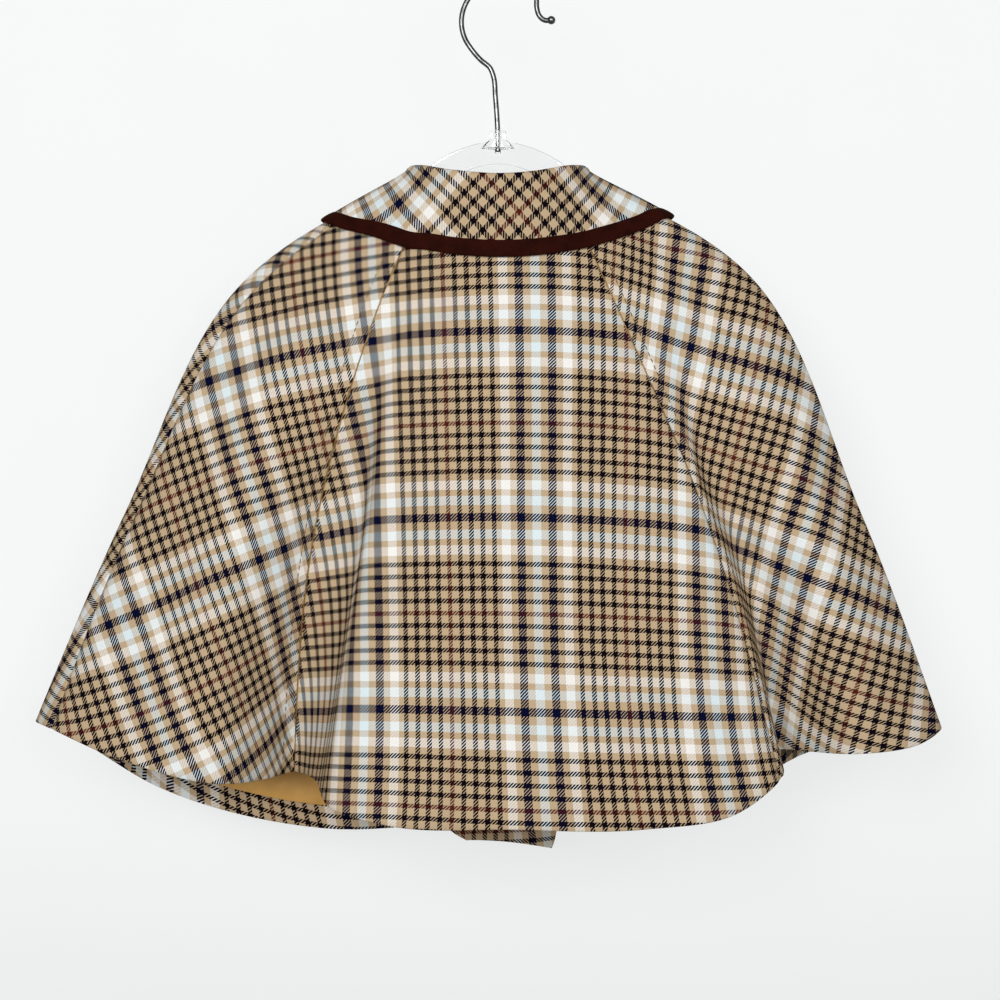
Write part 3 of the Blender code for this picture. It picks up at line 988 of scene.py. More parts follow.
@dataclass(frozen=True)
class WovenCheck:
    """The check's sett and its two-and-two twill, as a node group."""

    yarn: float = 0.46 * MM
    wander: float = 0.30 * MM
    wander_scale: float = 90.0
    edge: float = 0.12
    light_show: float = 0.3
    dark_lead: float = 0.22
    dark_below: float = 0.15
    fibre_scale: float = 1400.0
    fibre_detail: float = 3.0
    fibre_tone: tuple[float, float] = (0.86, 1.12)
    cloud_scale: float = 35.0
    cloud_tone: tuple[float, float] = (-0.05, 0.05)
    ply_height: float = 0.35

    def stops(self, stripes: tuple[Stripe, ...], half: float) -> list:
        """The ramp stops of half a repeat.

        Args:
            stripes: The stripes from the middle out.
            half: Half the repeat, in millimetres.

        Returns:
            Pairs of place and colour.
        """
        found = []
        for stripe in stripes:
            begin = stripe.middle - stripe.width / 2
            end = stripe.middle + stripe.width / 2
            found.append((max(0.0, begin / half), stripe.yarn.value))
            if end < half:
                found.append((end / half, Yarn.TAN.value))
        return found

    def group(self) -> bpy.types.NodeTree:
        """Builds the group, from a flat cloth place to its colour, height and fibre.

        Returns:
            The group.
        """
        board, given, result = new_group(
            "woven check",
            {"Place": "NodeSocketVector"},
            {"Colour": "NodeSocketColor", "Height": "NodeSocketFloat", "Fibre": "NodeSocketFloat"},
        )
        place = given.outputs["Place"]
        across, along, _ = board.split(place)
        wobble = board.math("SUBTRACT", board.noise(place, self.wander_scale), 0.5)
        drift = board.math("MULTIPLY", wobble, self.wander * 2)
        warp = self.sett(board, board.math("ADD", across, drift), WARP_STRIPES, WARP_HALF_MM)
        weft = self.sett(board, board.math("SUBTRACT", along, drift), WEFT_STRIPES, WEFT_HALF_MM)
        wale = board.fold(board.math("SUBTRACT", across, along), self.yarn * 2)
        dark_warp = self.darkness(board, warp)
        dark_weft = self.darkness(board, weft)
        lead = board.math("SUBTRACT", dark_weft, dark_warp)
        shown = board.math("ADD", wale, board.math("MULTIPLY", lead, self.dark_lead))
        over = board.between(shown, 0.5 - self.edge, 0.5 + self.edge)
        show = board.spread(board.math("MAXIMUM", dark_warp, dark_weft), self.light_show, 1.0)
        felted = board.math("MULTIPLY_ADD", board.math("SUBTRACT", over, 0.5), show, 0.5)
        woven = board.mix(felted, warp, weft)
        fibre = board.noise(place, self.fibre_scale, self.fibre_detail)
        fuzz = board.spread(fibre, *self.fibre_tone)
        cloud = board.spread(board.noise(place, self.cloud_scale), *self.cloud_tone)
        shade = board.math("ADD", fuzz, cloud)
        tone = board.add("ShaderNodeCombineColor", {0: shade, 1: shade, 2: shade}).outputs[0]
        rib = board.fold(board.math("MULTIPLY", wale, 2.0), 0.5)
        ply = board.math("MULTIPLY", board.fold(across, self.yarn / 2), self.ply_height)
        colour = board.mix(1.0, woven, tone, "MULTIPLY")
        height = board.math("ADD", rib, ply)
        board.feed(result, {"Colour": colour, "Height": height, "Fibre": fibre})
        return board.tree

    def darkness(self, board: NodeBoard, yarn: bpy.types.NodeSocket) -> bpy.types.NodeSocket:
        """How dark a yarn is, since the dark yarns are the thicker ones.

        Args:
            board: The group's board.
            yarn: The yarn's colour.

        Returns:
            1 for black, falling to 0 at dark_below.
        """
        tone = board.add("ShaderNodeRGBToBW", {0: yarn}).outputs[0]
        inputs = {"Value": tone, "From Max": self.dark_below, "To Min": 1.0, "To Max": 0.0}
        return board.add("ShaderNodeMapRange", inputs).outputs[0]

    def sett(
        self, board: NodeBoard, way: bpy.types.NodeSocket, stripes: tuple[Stripe, ...], half: float
    ) -> bpy.types.NodeSocket:
        """The stripes along one way of the cloth.

        Args:
            board: The group's board.
            way: The way across the stripes, in metres.
            stripes: The stripes from the middle of the repeat out.
            half: Half the repeat, in millimetres.

        Returns:
            The yarn's colour.
        """
        return board.ramp(board.fold(way, half * MM), self.stops(stripes, half))


@dataclass(frozen=True)
class PlaidTwill:
    """The cape's wool twill."""

    bump: float = 0.25
    relief: float = 0.30 * MM
    rough: tuple[float, float] = (0.74, 0.94)
    specular: float = 0.03

    def material(self) -> bpy.types.Material:
        """Builds the finish.

        Returns:
            The material.
        """
        made, board, shader = new_material("plaid twill")
        cloth = board.add("ShaderNodeGroup", node_tree=WovenCheck().group())
        board.feed(cloth, {"Place": board.weave_place()})
        finish = {
            "Base Color": cloth.outputs["Colour"],
            "Roughness": board.spread(cloth.outputs["Fibre"], *self.rough),
            "Normal": board.bump(cloth.outputs["Height"], self.bump, self.relief),
            "Specular IOR Level": self.specular,
        }
        board.feed(shader, finish)
        return made


@dataclass(frozen=True)
class NapGrain:
    """Mottling and fine grain of a pile or a thread, as a node group on object places."""

    detail: float = 3.0

    def group(self) -> bpy.types.NodeTree:
        """Builds the group, from a place to a mottle and a grain.

        Returns:
            The group.
        """
        board, given, result = new_group(
            "nap grain",
            {"Place": "NodeSocketVector", "Patch": "NodeSocketFloat", "Grain": "NodeSocketFloat"},
            {"Mottle": "NodeSocketFloat", "Grain": "NodeSocketFloat"},
        )
        for label, scale in (("Mottle", "Patch"), ("Grain", "Grain")):
            value = board.noise(given.outputs["Place"], given.outputs[scale], self.detail)
            board.feed(result, {label: value})
        return board.tree


@dataclass(frozen=True)
class NapFinish:
    """A soft finish between two colours: velvet, thread or horn."""

    name: str
    dark: Colour
    light: Colour
    rough: tuple[float, float]
    patch: float
    grain: float
    bump: float
    relief: float = 0.2 * MM
    specular: float = 0.3
    sheen: float = 0.0
    sheen_rough: float = 0.4
    sheen_tint: Colour = (1.0, 1.0, 1.0)
    coat: float = 0.0
    mottle_part: float = 0.6
    dark_at: float = 0.3
    light_at: float = 0.7

    def material(self, nap: bpy.types.NodeTree) -> bpy.types.Material:
        """Builds the finish.

        Args:
            nap: The shared mottling group.

        Returns:
            The material.
        """
        made, board, shader = new_material(self.name)
        mottle, grain = board.nap(board.object_place(), nap, self.patch, self.grain)
        patches = board.math("MULTIPLY", mottle, self.mottle_part)
        blend = board.math("MULTIPLY_ADD", grain, 1.0 - self.mottle_part, patches)
        stops = [(self.dark_at, self.dark), (self.light_at, self.light)]
        finish = {
            "Base Color": board.ramp(blend, stops, "EASE"),
            "Roughness": board.spread(mottle, *self.rough),
            "Normal": board.bump(grain, self.bump, self.relief),
            "Specular IOR Level": self.specular,
            "Sheen Weight": self.sheen,
            "Sheen Roughness": self.sheen_rough,
            "Sheen Tint": (*self.sheen_tint, 1.0),
            "Coat Weight": self.coat,
        }
        board.feed(shader, finish)
        return made


@dataclass(frozen=True)
class LiningSatin:
    """The golden satin lining, with its fine weave across the cloth."""

    dark: Colour = (0.60, 0.315, 0.070)
    light: Colour = (0.82, 0.462, 0.122)
    dark_at: float = 0.3
    light_at: float = 0.72
    patch: float = 40.0
    grain: float = 1100.0
    rib: float = 0.2 * MM
    grain_height: float = 0.1 * MM
    bump: float = 0.25
    relief: float = 0.5
    rough: tuple[float, float] = (0.42, 0.56)
    specular: float = 0.4
    sheen: float = 0.15

    def material(self, nap: bpy.types.NodeTree) -> bpy.types.Material:
        """Builds the finish.

        Args:
            nap: The shared mottling group.

        Returns:
            The material.
        """
        made, board, shader = new_material("lining satin")
        spot = board.weave_place()
        mottle, grain = board.nap(spot, nap, self.patch, self.grain)
        ribs = board.math("PINGPONG", board.split(spot)[1], self.rib)
        height = board.math("MULTIPLY_ADD", grain, self.grain_height, ribs)
        stops = [(self.dark_at, self.dark), (self.light_at, self.light)]
        finish = {
            "Base Color": board.ramp(mottle, stops, "EASE"),
            "Roughness": board.spread(mottle, *self.rough),
            "Normal": board.bump(height, self.bump, self.relief),
            "Specular IOR Level": self.specular,
            "Sheen Weight": self.sheen,
        }
        board.feed(shader, finish)
        return made


@dataclass(frozen=True)
class ClearPlastic:
    """The hanger's clear moulded plastic, lightly scuffed, with painted shade on its rounded upper
    edges in place of the dark that clear plastic shows there by bending light.
    """

    ior: float = 1.49
    tint: Colour = (0.975, 0.980, 0.980)
    # rim is painted shade: the grey laid on the bar's rounded upper edges in place of the dark that
    # clear plastic shows there.
    rim: Colour = (0.36, 0.37, 0.38)
    painted_shade_from: tuple[float, float] = (0.12, 0.30)
    painted_shade_to: tuple[float, float] = (0.90, 0.97)
    socket_x: float = -3.0 * MM
    socket_half: float = 10.5 * MM
    patch: float = 60.0
    grain: float = 300.0
    rough: tuple[float, float] = (0.02, 0.10)
    bump: float = 0.04
    relief: float = 0.2 * MM

    def material(self, nap: bpy.types.NodeTree) -> bpy.types.Material:
        """Builds the finish.

        Args:
            nap: The shared mottling group.

        Returns:
            The material.
        """
        made, board, shader = new_material("clear plastic")
        spot = board.object_place()
        mottle, grain = board.nap(spot, nap, self.patch, self.grain)
        upward = board.split(board.add("ShaderNodeNewGeometry").outputs["Normal"])[2]
        # Painted shade: where the surface faces partly up, on the bar's rounded upper edges but not on
        # the socket, the colour turns to the rim grey.
        painted_shade_tones = (self.tint, self.rim, self.rim, self.tint)
        edge = board.ramp(upward, list(zip(self.painted_shade_from + self.painted_shade_to, painted_shade_tones)), "LINEAR")
        aside = board.math("ABSOLUTE", board.math("SUBTRACT", board.split(spot)[0], self.socket_x))
        on_bar = board.math("GREATER_THAN", aside, self.socket_half)
        finish = {
            "Base Color": board.mix(on_bar, (*self.tint, 1.0), edge),
            "Roughness": board.spread(mottle, *self.rough),
            "Normal": board.bump(grain, self.bump, self.relief),
            "IOR": self.ior,
            "Transmission Weight": 1.0,
        }
        board.feed(shader, finish)
        return made


@dataclass(frozen=True)
class SteelWire:
    """The hook's bright drawn wire."""

    dark: Colour = (0.11, 0.112, 0.117)
    light: Colour = (0.25, 0.253, 0.258)
    dark_at: float = 0.28
    light_at: float = 0.62
    patch: float = 220.0
    grain: float = 1800.0
    rough: tuple[float, float] = (0.16, 0.36)

    def material(self, nap: bpy.types.NodeTree) -> bpy.types.Material:
        """Builds the finish.

        Args:
            nap: The shared mottling group.

        Returns:
            The material.
        """
        made, board, shader = new_material("steel wire")
        mottle, grain = board.nap(board.object_place(), nap, self.patch, self.grain)
        stops = [(self.dark_at, self.dark), (self.light_at, self.light)]
        finish = {
            "Base Color": board.ramp(mottle, stops, "EASE"),
            "Roughness": board.spread(grain, *self.rough),
            "Metallic": 1.0,
        }
        board.feed(shader, finish)
        return made


VELVET = NapFinish(
    name="trim velvet",
    dark=(0.013, 0.0015, 0.0006),
    light=(0.033, 0.0046, 0.0020),
    rough=(0.75, 0.95),
    patch=120.0,
    grain=1500.0,
    bump=0.5,
    sheen=0.04,
    sheen_rough=0.35,
    sheen_tint=(0.85, 0.40, 0.25),
    specular=0.06,
)
THREAD = NapFinish(
    name="brown thread",
    dark=(0.09, 0.045, 0.020),
    light=(0.18, 0.095, 0.045),
    rough=(0.6, 0.8),
    patch=300.0,
    grain=4000.0,
    bump=0.4,
    specular=0.2,
)
HORN = NapFinish(
    name="button horn",
    dark=(0.030, 0.012, 0.007),
    light=(0.120, 0.055, 0.025),
    rough=(0.22, 0.38),
    patch=160.0,
    grain=900.0,
    bump=0.05,
    specular=0.5,
    coat=0.25,
)


@dataclass
class CapeBody:
    """The five plaid panels with their turned-up hems, and the lining under them."""

    form: CapeForm
    wall: float = 2.0 * MM
    lining_wall: float = 0.9 * MM
    layer_gap: float = 0.35 * MM
    seam_gap: float = 0.3 * MM
    seam_turn: float = 0.5 * MM
    seam_dip: float = 0.7 * MM
    seam_reach: float = 1.8 * MM
    steps: int = 10
    rows: int = 120
    lining_steps: int = 6
    lining_rows: int = 84
    hem_share: float = 14.0 / 15.0
    turn_up: float = 1.1 * MM
    turn_from: float = 0.004
    turn_to: float = 0.012
    lining_share: float = 0.972
    lining_slack: float = 0.6 * MM
    lining_waves: float = 150.0
    lining_lean: float = 3.0
    slack_range: tuple[float, float] = (0.25, 0.9)
    over_lead: float = 0.03
    shell: ClothShell = field(default_factory=ClothShell)

    def seam_depths(self, points: Grid) -> Grid:
        """How far a panel sinks towards the seams at its two sides.

        Args:
            points: The panel's places.

        Returns:
            A depth for each place, in metres.
        """
        ways = np.linalg.norm(np.diff(points, axis=0), axis=2)
        run = np.concatenate([np.zeros((1, points.shape[1])), np.cumsum(ways, axis=0)])
        near = np.minimum(run, run[-1:] - run)
        return self.seam_dip * np.exp(-((near / self.seam_reach) ** 2))

    def panel(self, panel: Panel, plaid: bpy.types.Material) -> None:
        """Makes one plaid panel.

        Args:
            panel: Its row of the panel table.
            plaid: Its finish.
        """
        around = self.form.columns(panel.first, panel.last, self.steps)
        down = np.linspace(0.0, 1.0, self.rows + 1)
        points, normals = self.form.face(around, down)
        along, _ = self.form.slopes(around, down)
        inset = self.seam_gap / 2 + self.seam_turn
        points[0] += unit(along[0]) * inset
        points[-1] -= unit(along[-1]) * inset
        flat = flatten(points)
        weave = laid(flat, panel.warp, panel.weft)
        folded = 2 * weave[:, -1:] - weave
        outer = points - normals * self.seam_depths(points)[..., None]
        turned_up = ease(down, self.hem_share + self.turn_from, self.hem_share + self.turn_to)
        depth = self.wall + self.turn_up * turned_up
        inner = points - normals * depth[None, :, None]
        obj = self.shell.build(f"{panel.name}_plaid", outer, inner, weave, folded)
        dress(obj, plaid, Slot.PLAID, panel.name)
        cut_of(panel.name, flat, points)

    def lining(self, panel: Panel, satin: bpy.types.Material) -> None:
        """Makes the lining under one panel.

        Args:
            panel: The panel's row of the table.
            satin: The finish.
        """
        around = self.form.columns(panel.first, panel.last, self.lining_steps)
        down = np.linspace(0.0, self.lining_share, self.lining_rows + 1)
        points, normals = self.form.face(around, down)
        wave = np.sin(around[:, None] * self.lining_waves + self.lining_lean * down[None, :])
        sag = self.lining_slack * (0.5 + 0.5 * wave) * ease(down, *self.slack_range)[None, :]
        over = ease(down, self.hem_share - self.over_lead, self.hem_share)[None, :]
        depth = self.wall + self.layer_gap + sag + (self.turn_up + self.layer_gap) * over
        outer = points - normals * depth[..., None]
        inner = outer - normals * self.lining_wall
        flat = flatten(outer)
        obj = self.shell.build(f"{panel.name}_lining", outer, inner, flat, flat)
        dress(obj, satin, Slot.LINING, f"lining_{panel.name}")
        cut_of(f"lining_{panel.name}", flat, outer)

    def build(self, plaid: bpy.types.Material, satin: bpy.types.Material) -> None:
        """Makes the panels and the lining.

        Args:
            plaid: The panels' finish.
            satin: The lining's finish.
        """
        for panel in PANELS:
            self.panel(panel, plaid)
            self.lining(panel, satin)


@dataclass
class Collar:
    """The bias-cut collar with its velvet trim."""

    form: CapeForm
    wall: float = 2.0 * MM
    lift: float = 0.6 * MM
    roll: float = 1.9 * MM
    arch: float = 1.6 * MM
    end_gap: float = 5.0 * MM
    foot_lift: float = 0.4 * MM
    seam_gap: float = 0.1 * MM
    steps: int = 8
    stand_steps: int = 6
    roll_steps: int = 7
    fall_steps: int = 20
    bend_share: float = 0.5
    trim_width: float = 9.5 * MM
    trim_cut: float = 1.25
    trim_wall: float = 2.6 * MM
    trim_rows: int = 12
    trim_edge_share: float = 0.45
    trim_swell: float = 0.5
    shell: ClothShell = field(default_factory=ClothShell)

    def columns(self) -> Grid:
        """Places around for the collar, open at the centre front.

        Returns:
            The ways round, in metres.
        """
        whole = self.form.columns("front_centre", "front_centre", self.steps)
        whole[0] += self.end_gap
        whole[-1] -= self.end_gap
        return whole

    def values(self, around: Grid) -> tuple[Grid, Grid]:
        """The stand's height and the edge's share down the cape.

        Args:
            around: Places round the neck.

        Returns:
            A height in metres and a share for each place.
        """
        degrees = [-HALF_TURN_DEG] + [line.neck_deg for line in LINES[1:]] + [HALF_TURN_DEG]
        place = np.interp(around, self.form.knots, degrees)
        table = np.array(COLLAR_PLACES, float)
        read = smooth_through(table[:, 1:], table[:, 0], place)
        return read[:, 0] * MM, read[:, 1]

    def middle(self, around: Grid) -> Grid:
        """The middle of the collar's wall.

        Args:
            around: Places round the neck.

        Returns:
            A grid from the stand's foot over the roll to the plaid's edge.
        """
        stand, edge = self.values(around)
        foot, normals = self.form.trace(around, np.zeros(len(around)))
        out = unit(normals * [1, 1, 0])
        up = np.array([0.0, 0.0, 1.0])
        half = self.wall / 2
        base = foot - out * half
        rows = []
        for k in range(self.stand_steps + 1):
            u = k / self.stand_steps
            rows.append(base + up * (self.foot_lift * (1 - u) + stand[:, None] * u))
        centre = foot + out * (self.roll - half) + up * stand[:, None]
        for k in range(1, self.roll_steps + 1):
            turn = math.pi * k / (self.roll_steps + 1)
            rows.append(centre - out * self.roll * math.cos(turn) + up * self.roll * math.sin(turn))
        start = centre + out * self.roll
        end, end_normals = self.form.trace(around, edge)
        end = end + end_normals * (self.lift + half)
        bend, bend_normals = self.form.trace(around, edge * self.bend_share)
        bend = bend + bend_normals * (self.lift + half + self.arch)
        for k in range(self.fall_steps + 1):
            u = k / self.fall_steps
            rows.append(start * (1 - u) ** 2 + bend * 2 * u * (1 - u) + end * u**2)
        return np.stack(rows, axis=1)

    def cloth(self, around: Grid, plaid: bpy.types.Material) -> None:
        """Makes the plaid collar.

        Args:
            around: Places round the neck.
            plaid: The finish.
        """
        middle = self.middle(around)
        normals = grid_normals(middle)
        half = self.wall / 2
        fall = self.stand_steps + self.roll_steps
        flat = flatten(middle)
        centre = flat[len(around) // 2, fall]
        weave = laid(flat - centre, COLLAR_WARP, COLLAR_WEFT, COLLAR_BOW_REACH_MM)
        outer = middle + normals * half
        obj = self.shell.build("collar_plaid", outer, middle - normals * half, weave, weave)
        dress(obj, plaid, Slot.PLAID, "collar")
        cut = cut_of("collar", flat, middle)

    def trim(self, around: Grid, velvet: bpy.types.Material) -> None:
        """Makes the velvet band that carries on from the collar's edge.

        Args:
            around: Places round the neck.
            velvet: The finish.
        """
        _, edge = self.values(around)
        outer = []
        inner = []
        for k in range(self.trim_rows + 1):
            u = k / self.trim_rows
            shares = self.form.lower_shares(around, edge, self.seam_gap + u * self.trim_width)
            points, out = self.form.trace(around, shares)
            full = math.sin(math.pi * u) ** self.trim_swell
            thick = self.trim_wall * (self.trim_edge_share + (1 - self.trim_edge_share) * full)
            outer.append(points + out * (self.lift + self.trim_wall / 2 + thick / 2))
            inner.append(points + out * (self.lift + self.trim_wall / 2 - thick / 2))
        top = np.stack(outer, axis=1)
        flat = np.zeros((*top.shape[:2], 2))
        obj = self.shell.build("collar_trim_velvet", top, np.stack(inner, axis=1), flat, flat)
        dress(obj, velvet, Slot.TRIM, "collar_trim")

    def build(self, plaid: bpy.types.Material, velvet: bpy.types.Material) -> None:
        """Makes the collar and its trim.

        Args:
            plaid: The collar's finish.
            velvet: The trim's finish.
        """
        around = self.columns()
        self.cloth(around, plaid)
        self.trim(around, velvet)


@dataclass
class StitchThread:
    """Rows of raised stitches as one mesh for each row."""

    length: float = 3.0 * MM
    gap: float = 1.1 * MM
    radius: float = 0.28 * MM
    end_thin: float = 0.35
    swell: float = 0.5
    rise: float = 1.1
    sink: float = 0.45
    sides: int = 6
    rings: int = 7

    def stitch(self, start: Grid, end: Grid, out: Grid) -> Grid:
        """One stitch that rises out of the cloth and sinks in again.

        Args:
            start: Where it leaves the cloth.
            end: Where it goes back.
            out: The outward direction.

        Returns:
            Its rings of points.
        """
        way = unit(end - start)
        side = unit(np.cross(out, way))
        rings = []
        for k in range(self.rings):
            u = k / (self.rings - 1)
            bow = math.sin(math.pi * u)
            thick = self.radius * (self.end_thin + (1 - self.end_thin) * bow**self.swell)
            lift = self.radius * (self.rise * bow - self.sink)
            middle = start * (1 - u) + end * u + out * lift
            for s in range(self.sides):
                angle = 2 * math.pi * s / self.sides
                rings.append(middle + (side * math.cos(angle) + out * math.sin(angle)) * thick)
        return np.array(rings)

    def faces(self) -> list:
        """The faces of one stitch.

        Returns:
            Corner numbers of each face.
        """
        found = []
        for k in range(self.rings - 1):
            for s in range(self.sides):
                n = (s + 1) % self.sides
                a = k * self.sides
                found.append([a + s, a + self.sides + s, a + self.sides + n, a + n])
        found.append(list(range(self.sides)))
        last = (self.rings - 1) * self.sides
        found.append([last + s for s in range(self.sides - 1, -1, -1)])
        return found

    def build(self, name: str, ends: list) -> bpy.types.Object:
        """Makes a row of stitches.

        Args:
            name: The piece's name.
            ends: A start, an end and an outward direction for each stitch.

        Returns:
            The new object.
        """
        points = [self.stitch(*each) for each in ends]
        shape = self.faces()
        starts = range(0, len(points) * len(points[0]), len(points[0]))
        faces = [[start + v for v in face] for start in starts for face in shape]
        return new_object(name, np.concatenate(points), faces)

    def along(self, path: Grid, normals: Grid) -> list:
        """The stitches that fit along a path.

        Args:
            path: Places along the row.
            normals: The outward direction at each.

        Returns:
            A start, an end and an outward direction for each stitch.
        """
        run = np.concatenate([[0.0], np.cumsum(np.linalg.norm(np.diff(path, axis=0), axis=1))])
        count = int(run[-1] / (self.length + self.gap))
        starts = np.arange(count) * (self.length + self.gap)

        def read(values: Grid, at: Grid) -> Grid:
            """The path's values at these lengths along it."""
            return np.stack([np.interp(at, run, values[:, k]) for k in range(3)], axis=1)

        out = unit(read(normals, starts + self.length / 2))
        return list(zip(read(path, starts), read(path, starts + self.length), out))


@dataclass
class SeamStitching:
    """The topstitching beside the raglan seams."""

    form: CapeForm
    thread: StitchThread = field(default_factory=StitchThread)
    samples: int = 160

    def build(self, finish: bpy.types.Material) -> None:
        """Makes each row of stitches.

        Args:
            finish: The thread's finish.
        """
        for run in STITCH_RUNS:
            shares = np.linspace(run.first_share, run.last_share, self.samples)
            knot = self.form.knots[self.form.line_at[run.line]]
            along, _ = self.form.slopes([knot], shares)
            around = knot + run.offset_mm * MM / np.linalg.norm(along[0], axis=1)
            path, normals = self.form.trace(around, shares)
            obj = self.thread.build(run.name, self.thread.along(path, normals))
            dress(obj, finish, Slot.PLAID)


@dataclass
class Placket:
    """The buttoned band over the front opening."""

    form: CapeForm
    wall: float = 2.0 * MM
    lift: float = 0.7 * MM
    half_width: float = 33.0 * MM
    steps: int = 24
    rows: int = 110
    first_share: float = 4.0 / 15.0
    tail: float = 15.0 * MM
    tail_slant: float = 4.0 * MM
    tail_cut: tuple[float, float] = (3.0 * MM, 12.0 * MM)
    tail_rows: int = 6
    button_shares: tuple[float, ...] = (0.36, 0.56, 0.76)
    button_gap: float = 0.7 * MM
    stitch_inset: int = 2
    shell: ClothShell = field(default_factory=ClothShell)
    thread: StitchThread = field(default_factory=StitchThread)

    def face(self) -> tuple[Grid, Grid]:
        """The fronts under the band, carried past the hem by its tail.

        Returns:
            A grid of places and one of outward directions.
        """
        around = np.linspace(-self.half_width, self.half_width, self.steps + 1)
        down = np.linspace(self.first_share, 1.0, self.rows + 1)
        points, normals = self.form.face(around, down)
        along, fall = self.form.slopes(around, down)
        drops = np.linspace(0.0, 1.0, self.tail_rows + 1)[1:]
        share = np.linspace(0.0, 1.0, len(around))
        longer = self.tail + self.tail_slant * (0.5 - share)
        inward = self.tail_cut[0] * (1.0 - share) - self.tail_cut[1] * share
        tail = points[:, -1:] + unit(fall[:, -1:]) * (longer[:, None] * drops[None, :])[..., None]
        tail = tail + unit(along[:, -1:]) * (inward[:, None] * drops[None, :] ** 2)[..., None]
        tail_normals = np.repeat(normals[:, -1:], self.tail_rows, axis=1)
        points = np.concatenate([points, tail], axis=1)
        return points, np.concatenate([normals, tail_normals], axis=1)

    def build(self, plaid: bpy.types.Material, thread: bpy.types.Material) -> list:
        """Makes the band.

        Args:
            plaid: The band's finish.
            thread: The finish of its stitching.

        Returns:
            A foot and an outward direction for each button.
        """
        points, normals = self.face()
        flat = flatten(points)
        weave = laid(flat - flat[self.steps // 2, self.rows], PLACKET_WARP, PLACKET_WEFT)
        outer = points + normals * (self.lift + self.wall)
        obj = self.shell.build("placket_plaid", outer, points + normals * self.lift, weave, weave)
        dress(obj, plaid, Slot.PLAID, "front_placket")
        cut = cut_of("placket", flat, points)
        ends = []
        for column in (self.stitch_inset, -1 - self.stitch_inset):
            ends += self.thread.along(outer[column], normals[column])
        dress(self.thread.build("placket_stitches", ends), thread, Slot.PLAID)
        shares = np.array(self.button_shares)
        places, out = self.form.trace(np.zeros(len(shares)), shares)
        return list(zip(places + out * (self.lift + self.wall + self.button_gap), out))


def pick(obj: bpy.types.Object, kind: Pick, wanted: Callable) -> None:
    """Opens an object in edit mode with only some faces or edges selected.

    Args:
        obj: The object.
        kind: What is picked.
        wanted: Says of a face or an edge whether it is selected.
    """
    alone(obj)
    bpy.ops.object.mode_set(mode="EDIT")
    bpy.ops.mesh.select_mode(type=kind.value)
    bpy.ops.mesh.select_all(action="DESELECT")
    bpy.ops.object.mode_set(mode="OBJECT")
    for item in obj.data.polygons if kind is Pick.FACE else obj.data.edges:
        item.select = bool(wanted(item))
    bpy.ops.object.mode_set(mode="EDIT")


def extrude(way: Place) -> None:
    """Extrudes what is selected in edit mode."""
    bpy.ops.mesh.extrude_region_move(TRANSFORM_OT_translate={"value": way})


def apply_place(obj: bpy.types.Object) -> None:
    """Moves an object's place into its mesh."""
    alone(obj)
    bpy.ops.object.transform_apply(location=True, rotation=True, scale=True)


def apply_bevel(obj: bpy.types.Object, width: float, segments: int, angle_deg: float) -> None:
    """Rounds the sharp edges of an object.

    Args:
        obj: The object.
        width: How far in the rounding starts, in metres.
        segments: How many steps it has.
        angle_deg: The least angle that counts as sharp.
    """
    alone(obj)
    rounded = obj.modifiers.new("rounded edges", "BEVEL")
    rounded.width = width
    rounded.segments = segments
    rounded.limit_method = "ANGLE"
    rounded.angle_limit = math.radians(angle_deg)
    bpy.ops.object.modifier_apply(modifier=rounded.name)


def apply_boolean(obj: bpy.types.Object, other: bpy.types.Object, operation: str) -> None:
    """Joins or cuts an object with another, which is then removed.

    Args:
        obj: The object that stays.
        other: The object that is used up.
        operation: UNION or DIFFERENCE.
    """
    alone(obj)
    joined = obj.modifiers.new("joined", "BOOLEAN")
    joined.operation = operation
    joined.solver = "EXACT"
    joined.object = other
    bpy.ops.object.modifier_apply(modifier=joined.name)
    bpy.data.objects.remove(other, do_unlink=True)


def smooth_by_angle(obj: bpy.types.Object, angle_deg: float) -> None:
    """Shades an object smooth but for its sharp edges."""
    alone(obj)
    bpy.ops.object.shade_smooth_by_angle(angle=math.radians(angle_deg))


def add_cylinder(
    sides: int, radius: float, depth: float, centre: Place, tilt: float = 0.0
) -> bpy.types.Object:
    """A cylinder with its place moved into its mesh.

    Args:
        sides: How many sides its round has.
        radius: Its radius, in metres.
        depth: Its length, in metres.
        centre: Its middle.
        tilt: Its turn about X, in radians.

    Returns:
        The new object.
    """
    bpy.ops.object.select_all(action="DESELECT")
    bpy.ops.mesh.primitive_cylinder_add(
        vertices=sides, radius=radius, depth=depth, location=centre, rotation=(tilt, 0.0, 0.0)
    )
    obj = bpy.context.object
    apply_place(obj)
    return obj


def headings_of(path: Grid) -> Grid:
    """The angle of a flat path at each of its places, without jumps."""
    way = np.gradient(path, axis=0)
    return np.unwrap(np.arctan2(way[:, 1], way[:, 0]))


def sweep_face(obj: bpy.types.Object, path: Grid) -> None:
    """Extrudes a flat shape along a path in the hanger's plane, turning it square to the path.

    Args:
        obj: The shape at the path's start, already square to it.
        path: Places in X and Z.
    """
    headings = headings_of(path)
    alone(obj)
    bpy.ops.object.mode_set(mode="EDIT")
    bpy.ops.mesh.select_mode(type="FACE")
    bpy.ops.mesh.select_all(action="SELECT")
    for k in range(1, len(path)):
        step = path[k] - path[k - 1]
        extrude((step[0], 0.0, step[1]))
        bpy.ops.transform.rotate(
            value=headings[k] - headings[k - 1],
            orient_axis="Y",
            center_override=(path[k][0], 0.0, path[k][1]),
        )
    bpy.ops.mesh.select_all(action="SELECT")
    bpy.ops.mesh.normals_make_consistent(inside=False)
    bpy.ops.object.mode_set(mode="OBJECT")


def flat_path(places: tuple[FlatPlace, ...], count: int) -> Grid:
    """A smooth path through flat places.

    Args:
        places: The places, in millimetres.
        count: How many points the path gets.

    Returns:
        The path's X and Z, in metres.
    """
    table = np.array(places, float) * MM
    run = np.concatenate([[0.0], np.cumsum(np.linalg.norm(np.diff(table, axis=0), axis=1))])
    return smooth_through(table, run, np.linspace(0.0, run[-1], count))


